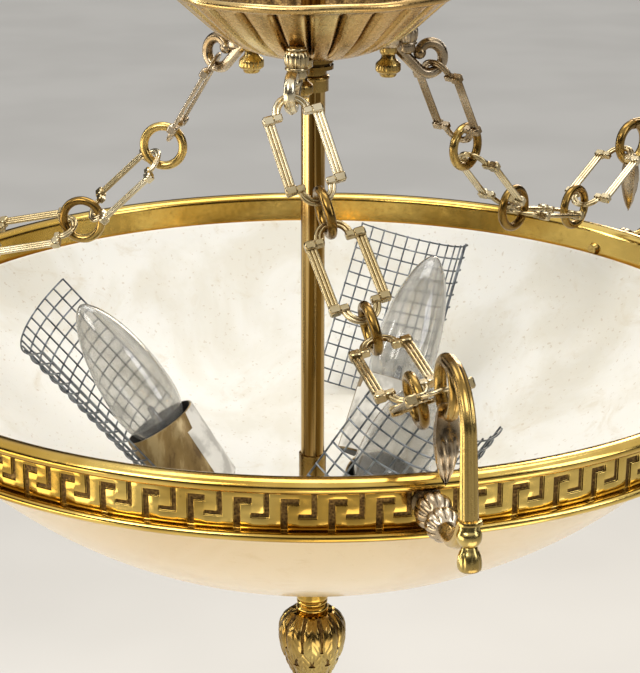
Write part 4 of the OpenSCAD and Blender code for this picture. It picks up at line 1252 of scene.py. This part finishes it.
def build_finial():
    """The finial's turned neck and bud, a ring of petals and three rings of scales under it."""
    rings = [(6.4, 0.0), (7.4, 0.0), (8.2, -0.5), (8.6, -1.3), (8.5, -2.3), (7.7, -3.0), (7.6, -3.4),
             (8.4, -4.0), (9.0, -5.0), (8.9, -6.2), (8.0, -7.0), (7.8, -7.4)]
    core = [(bud_radius(i / 40.0), -NECK_H - BUD_H * i / 40.0) for i in range(41)]
    shape = Shape()
    azimuths = full_circle(192)
    for profile, slot in ((rings + core[:1], 0), (core, 1)):
        shape.grid(around([(r, FINIAL_Z + z) for r, z in profile], azimuths), slot=slot)
    bud = make_piece("finial_bud", shape, [material("polished"), material("ground_and_shade")], crease=55)
    fit(bud, MAIN_BODY, "polished_brass", "finial")
    count = sizes().petals
    half = 180.0 / count
    # Name, first and last share of the bud's height, lift, thickness, start of the tip and turn
    for name, t0, t1, lift, thick, tip, turn in (("petals", 0.0, 0.50, 0.6, 0.9, 0.66, 0.0),
                                                 ("scales_high", 0.36, 0.70, -0.2, 0.8, 0.4, half),
                                                 ("scales_middle", 0.55, 0.86, -0.2, 0.7, 0.3, 0.0),
                                                 ("scales_low", 0.72, 0.99, -0.2, 0.6, 0.3, half)):
        motif = Shape()
        motif.leaf(petal_face(t0, t1, half * 0.95, lift, thick, tip),
                   petal_face(t0, t1, half * 0.95, lift, 0.0, tip), 26, 24)
        places = []
        for i in range(count):
            place = Matrix.Rotation(radians(turn + 360.0 * i / count), 4, "Z")
            place.translation = Vector((0, 0, FINIAL_Z + RIM_TOP)) * MM
            places.append(place)
        fit(copies(f"finial_{name}", motif, places, "cast", crease=50), MAIN_BODY, "polished_brass")


# Plain pieces that keep their made shape

KEPT = {
    "hanging_loop": "polished", "top_lock_nut": "polished", "rod": "rod", "corona_washer": "aged",
    "corona_collar": "aged", "arm_screws": "aged", "bracket_bolts": "aged", "bowl_gasket": "felt",
    "bowl_nut": "aged", "lamp_hub": "aged",
    **{f"socket_{n}": "ceramic" for n in CHAINS},
    **{f"bulb_cap_{n}": "nickel" for n in CHAINS},
}


def dress_kept():
    """Gives each plain part its finish."""
    for node, key in KEPT.items():
        mesh = NODES[node].data
        mesh.materials.clear()
        mesh.materials.append(material(key))


# Stage

LENS, SENSOR, SHIFT = 109.66, 36.0, 0.078125
CAMERA_SPOT = Vector((0.0, -0.985, 0.1128))
CAMERA_AIM = Vector((-0.0219, 0.9462, -0.3229))
CAMERA_YAW, CAMERA_ROLL = 0.0231, -0.0056
FLOOR_REACH = 20.0
# Name, place, aim, width, height, power and tint of each softbox
CENTRE = (0.0, 0.0, -0.2)
SOFTBOXES = (
    ("key_softbox", (-0.9, -1.1, 0.9), CENTRE, 0.9, 0.7, 14.5, "#fffaf2"),
    ("fill_softbox", (1.3, -0.7, 0.5), CENTRE, 0.5, 0.9, 6.5, "#f2f5ff"),
    ("top_softbox", (0.1, 0.3, 1.2), CENTRE, 1.1, 0.8, 12.0, "#ffffff"),
    ("back_strip", (0.5, 1.4, 0.4), CENTRE, 0.25, 1.1, 8.0, "#fff1dc"),
    ("left_strip", (-1.2, 0.2, 0.0), CENTRE, 0.12, 1.2, 5.0, "#ffffff"),
    ("low_bounce", (0.3, -0.6, -0.85), (0.0, 0.0, -0.25), 0.8, 0.6, 3.5, "#fff3e2"),
    ("low_left_panel", (-1.3, -0.55, -0.45), (-0.1, -0.05, -0.05), 1.1, 0.5, 6.0, "#fff2d8"),
)


def build_camera():
    """The camera at the photograph's viewing angle."""
    data = bpy.data.cameras.new("photo_camera")
    data.lens = LENS
    data.sensor_width = SENSOR
    data.sensor_fit = "HORIZONTAL"
    data.shift_x = SHIFT
    data.clip_start = 0.01
    right = Vector((cos(CAMERA_YAW), sin(CAMERA_YAW), 0))
    up = right.cross(CAMERA_AIM).normalized()
    s, c = sin(CAMERA_ROLL), cos(CAMERA_ROLL)
    side, top = c * right + s * up, -s * right + c * up
    matrix = Matrix((side, top, -CAMERA_AIM.normalized())).transposed().to_4x4()
    matrix.translation = CAMERA_SPOT
    camera = bpy.data.objects.new("photo_camera", data)
    bpy.context.scene.collection.objects.link(camera)
    camera.matrix_world = matrix
    bpy.context.scene.camera = camera


def soft_light(name, spot, aim, width, height, power, tint):
    """A rectangular softbox that faces its aim."""
    data = bpy.data.lights.new(name, "AREA")
    data.shape = "RECTANGLE"
    data.size = width
    data.size_y = height
    data.energy = power
    data.color = colour(tint)[:3]
    light = bpy.data.objects.new(name, data)
    bpy.context.scene.collection.objects.link(light)
    light.location = spot
    light.rotation_euler = (Vector(aim) - Vector(spot)).to_track_quat("-Z", "Y").to_euler()
    return light


def build_stage():
    """The camera, a plain pale floor, softboxes and a dim studio about them."""
    build_camera()
    floor_z = -sizes().floor_drop
    mesh = bpy.data.meshes.new("floor")
    sides = ((-1, -1), (1, -1), (1, 1), (-1, 1))
    mesh.from_pydata([(x * FLOOR_REACH, y * FLOOR_REACH, floor_z) for x, y in sides], [], [(0, 1, 2, 3)])
    floor = bpy.data.objects.new("floor", mesh)
    bpy.context.scene.collection.objects.link(floor)
    stops = [(0.3, colour("#cbc8c2")), (0.7, colour("#d2cfc9"))]
    mesh.materials.append(mottled("pale floor", 3.0, 2.0, stops, {"Roughness": 0.85}))
    lights = [soft_light(*softbox) for softbox in SOFTBOXES]
    world = bpy.data.worlds.new("studio")
    bpy.context.scene.world = world
    world.use_nodes = True
    world.node_tree.nodes.clear()
    sky = world.node_tree
    where = add_node(sky, "ShaderNodeTexCoord").outputs["Generated"]
    height = add_node(sky, "ShaderNodeSeparateXYZ", {"Vector": where}).outputs["Z"]
    lifted = add_node(sky, MAP, {"Value": height, "From Min": -1.0, "From Max": 1.0})
    stops = [(0.40, colour("#6a655d")), (0.52, colour("#2f2c29")), (0.68, colour("#45423e")),
             (0.82, colour("#ffffff"))]
    shade = add_node(sky, RAMP, {"Fac": lifted.outputs["Result"]}, stops).outputs["Color"]
    glow = add_node(sky, "ShaderNodeBackground", {"Color": shade, "Strength": 0.95})
    add_node(sky, "ShaderNodeOutputWorld", {"Surface": glow.outputs[0]})
    bpy.context.scene.view_settings.view_transform = "Standard"


# Operators


class PENDANT_OT_rim(bpy.types.Operator):
    """Build the rim band with its key pattern"""

    bl_idname = "pendant.rim"
    bl_label = "Rim"

    def execute(self, context):
        build_rim()
        return {"FINISHED"}


class PENDANT_OT_bowl(bpy.types.Operator):
    """Build the opal glass bowl"""

    bl_idname = "pendant.bowl"
    bl_label = "Bowl"

    def execute(self, context):
        build_bowl()
        return {"FINISHED"}


class PENDANT_OT_corona(bpy.types.Operator):
    """Build the fluted corona"""

    bl_idname = "pendant.corona"
    bl_label = "Corona"

    def execute(self, context):
        build_corona()
        return {"FINISHED"}


class PENDANT_OT_corona_arms(bpy.types.Operator):
    """Build the scrolled arms under the corona"""

    bl_idname = "pendant.corona_arms"
    bl_label = "Corona Arms"

    def execute(self, context):
        build_corona_arms()
        return {"FINISHED"}


class PENDANT_OT_arm_nuts(bpy.types.Operator):
    """Build the knurled finial nuts"""

    bl_idname = "pendant.arm_nuts"
    bl_label = "Arm Nuts"

    def execute(self, context):
        build_arm_nuts()
        return {"FINISHED"}


class PENDANT_OT_chains(bpy.types.Operator):
    """Build the links and rings of the chains"""

    bl_idname = "pendant.chains"
    bl_label = "Chains"

    def execute(self, context):
        build_chains()
        return {"FINISHED"}


class PENDANT_OT_brackets(bpy.types.Operator):
    """Build the scrolled brackets with their leaves"""

    bl_idname = "pendant.brackets"
    bl_label = "Brackets"

    def execute(self, context):
        build_brackets()
        return {"FINISHED"}


class PENDANT_OT_beads(bpy.types.Operator):
    """Build the melon beads of the brackets"""

    bl_idname = "pendant.beads"
    bl_label = "Bracket Beads"

    def execute(self, context):
        build_bosses()
        return {"FINISHED"}


class PENDANT_OT_drops(bpy.types.Operator):
    """Build the ball and bell under each bracket"""

    bl_idname = "pendant.drops"
    bl_label = "Bracket Drops"

    def execute(self, context):
        build_bracket_drops()
        return {"FINISHED"}


class PENDANT_OT_lamps(bpy.types.Operator):
    """Build the bulbs and lampholder sleeves"""

    bl_idname = "pendant.lamps"
    bl_label = "Lamps"

    def execute(self, context):
        build_lamps()
        return {"FINISHED"}


class PENDANT_OT_guards(bpy.types.Operator):
    """Build the wire guards"""

    bl_idname = "pendant.guards"
    bl_label = "Guards"

    def execute(self, context):
        build_guards()
        return {"FINISHED"}


class PENDANT_OT_cup(bpy.types.Operator):
    """Build the turned cup under the bowl"""

    bl_idname = "pendant.cup"
    bl_label = "Cup"

    def execute(self, context):
        build_cup()
        return {"FINISHED"}


class PENDANT_OT_finial(bpy.types.Operator):
    """Build the bottom finial with its petals"""

    bl_idname = "pendant.finial"
    bl_label = "Finial"

    def execute(self, context):
        build_finial()
        return {"FINISHED"}


class PENDANT_OT_plain(bpy.types.Operator):
    """Dress the plain pieces in their finishes"""

    bl_idname = "pendant.plain"
    bl_label = "Plain Pieces"

    def execute(self, context):
        dress_kept()
        return {"FINISHED"}


class PENDANT_OT_stage(bpy.types.Operator):
    """Set up the camera, the floor and the lights"""

    bl_idname = "pendant.stage"
    bl_label = "Stage"

    def execute(self, context):
        build_stage()
        return {"FINISHED"}


BUILDERS = (PENDANT_OT_rim, PENDANT_OT_bowl, PENDANT_OT_corona, PENDANT_OT_corona_arms,
            PENDANT_OT_arm_nuts, PENDANT_OT_chains, PENDANT_OT_brackets, PENDANT_OT_beads,
            PENDANT_OT_drops, PENDANT_OT_lamps, PENDANT_OT_guards, PENDANT_OT_cup,
            PENDANT_OT_finial, PENDANT_OT_plain, PENDANT_OT_stage)


class PENDANT_PT_sidebar(bpy.types.Panel):
    """Sizes and build buttons of the pendant light"""

    bl_label = "Pendant Light"
    bl_space_type = "VIEW_3D"
    bl_region_type = "UI"
    bl_category = "Pendant"

    def draw(self, context):
        column = self.layout.column()
        for name in PendantSizes.__annotations__:
            column.prop(context.scene.pendant_sizes, name)
        for name in PendantColours.__annotations__:
            column.prop(context.scene.pendant_colours, name)
        for kind in BUILDERS:
            column.operator(kind.bl_idname)


CLASSES = (PendantSizes, PendantColours) + BUILDERS + (PENDANT_PT_sidebar,)


def register():
    """Makes the classes and the scene's settings known."""
    for kind in CLASSES:
        bpy.utils.register_class(kind)
    bpy.types.Scene.pendant_sizes = bpy.props.PointerProperty(type=PendantSizes)
    bpy.types.Scene.pendant_colours = bpy.props.PointerProperty(type=PendantColours)


def unregister():
    """Takes them away again."""
    del bpy.types.Scene.pendant_colours
    del bpy.types.Scene.pendant_sizes
    for kind in reversed(CLASSES):
        bpy.utils.unregister_class(kind)


def main():
    """Builds every piece and the stage."""
    register()
    for kind in BUILDERS:
        getattr(bpy.ops.pendant, kind.bl_idname.split(".")[1])()


if __name__ == "__main__":
    main()
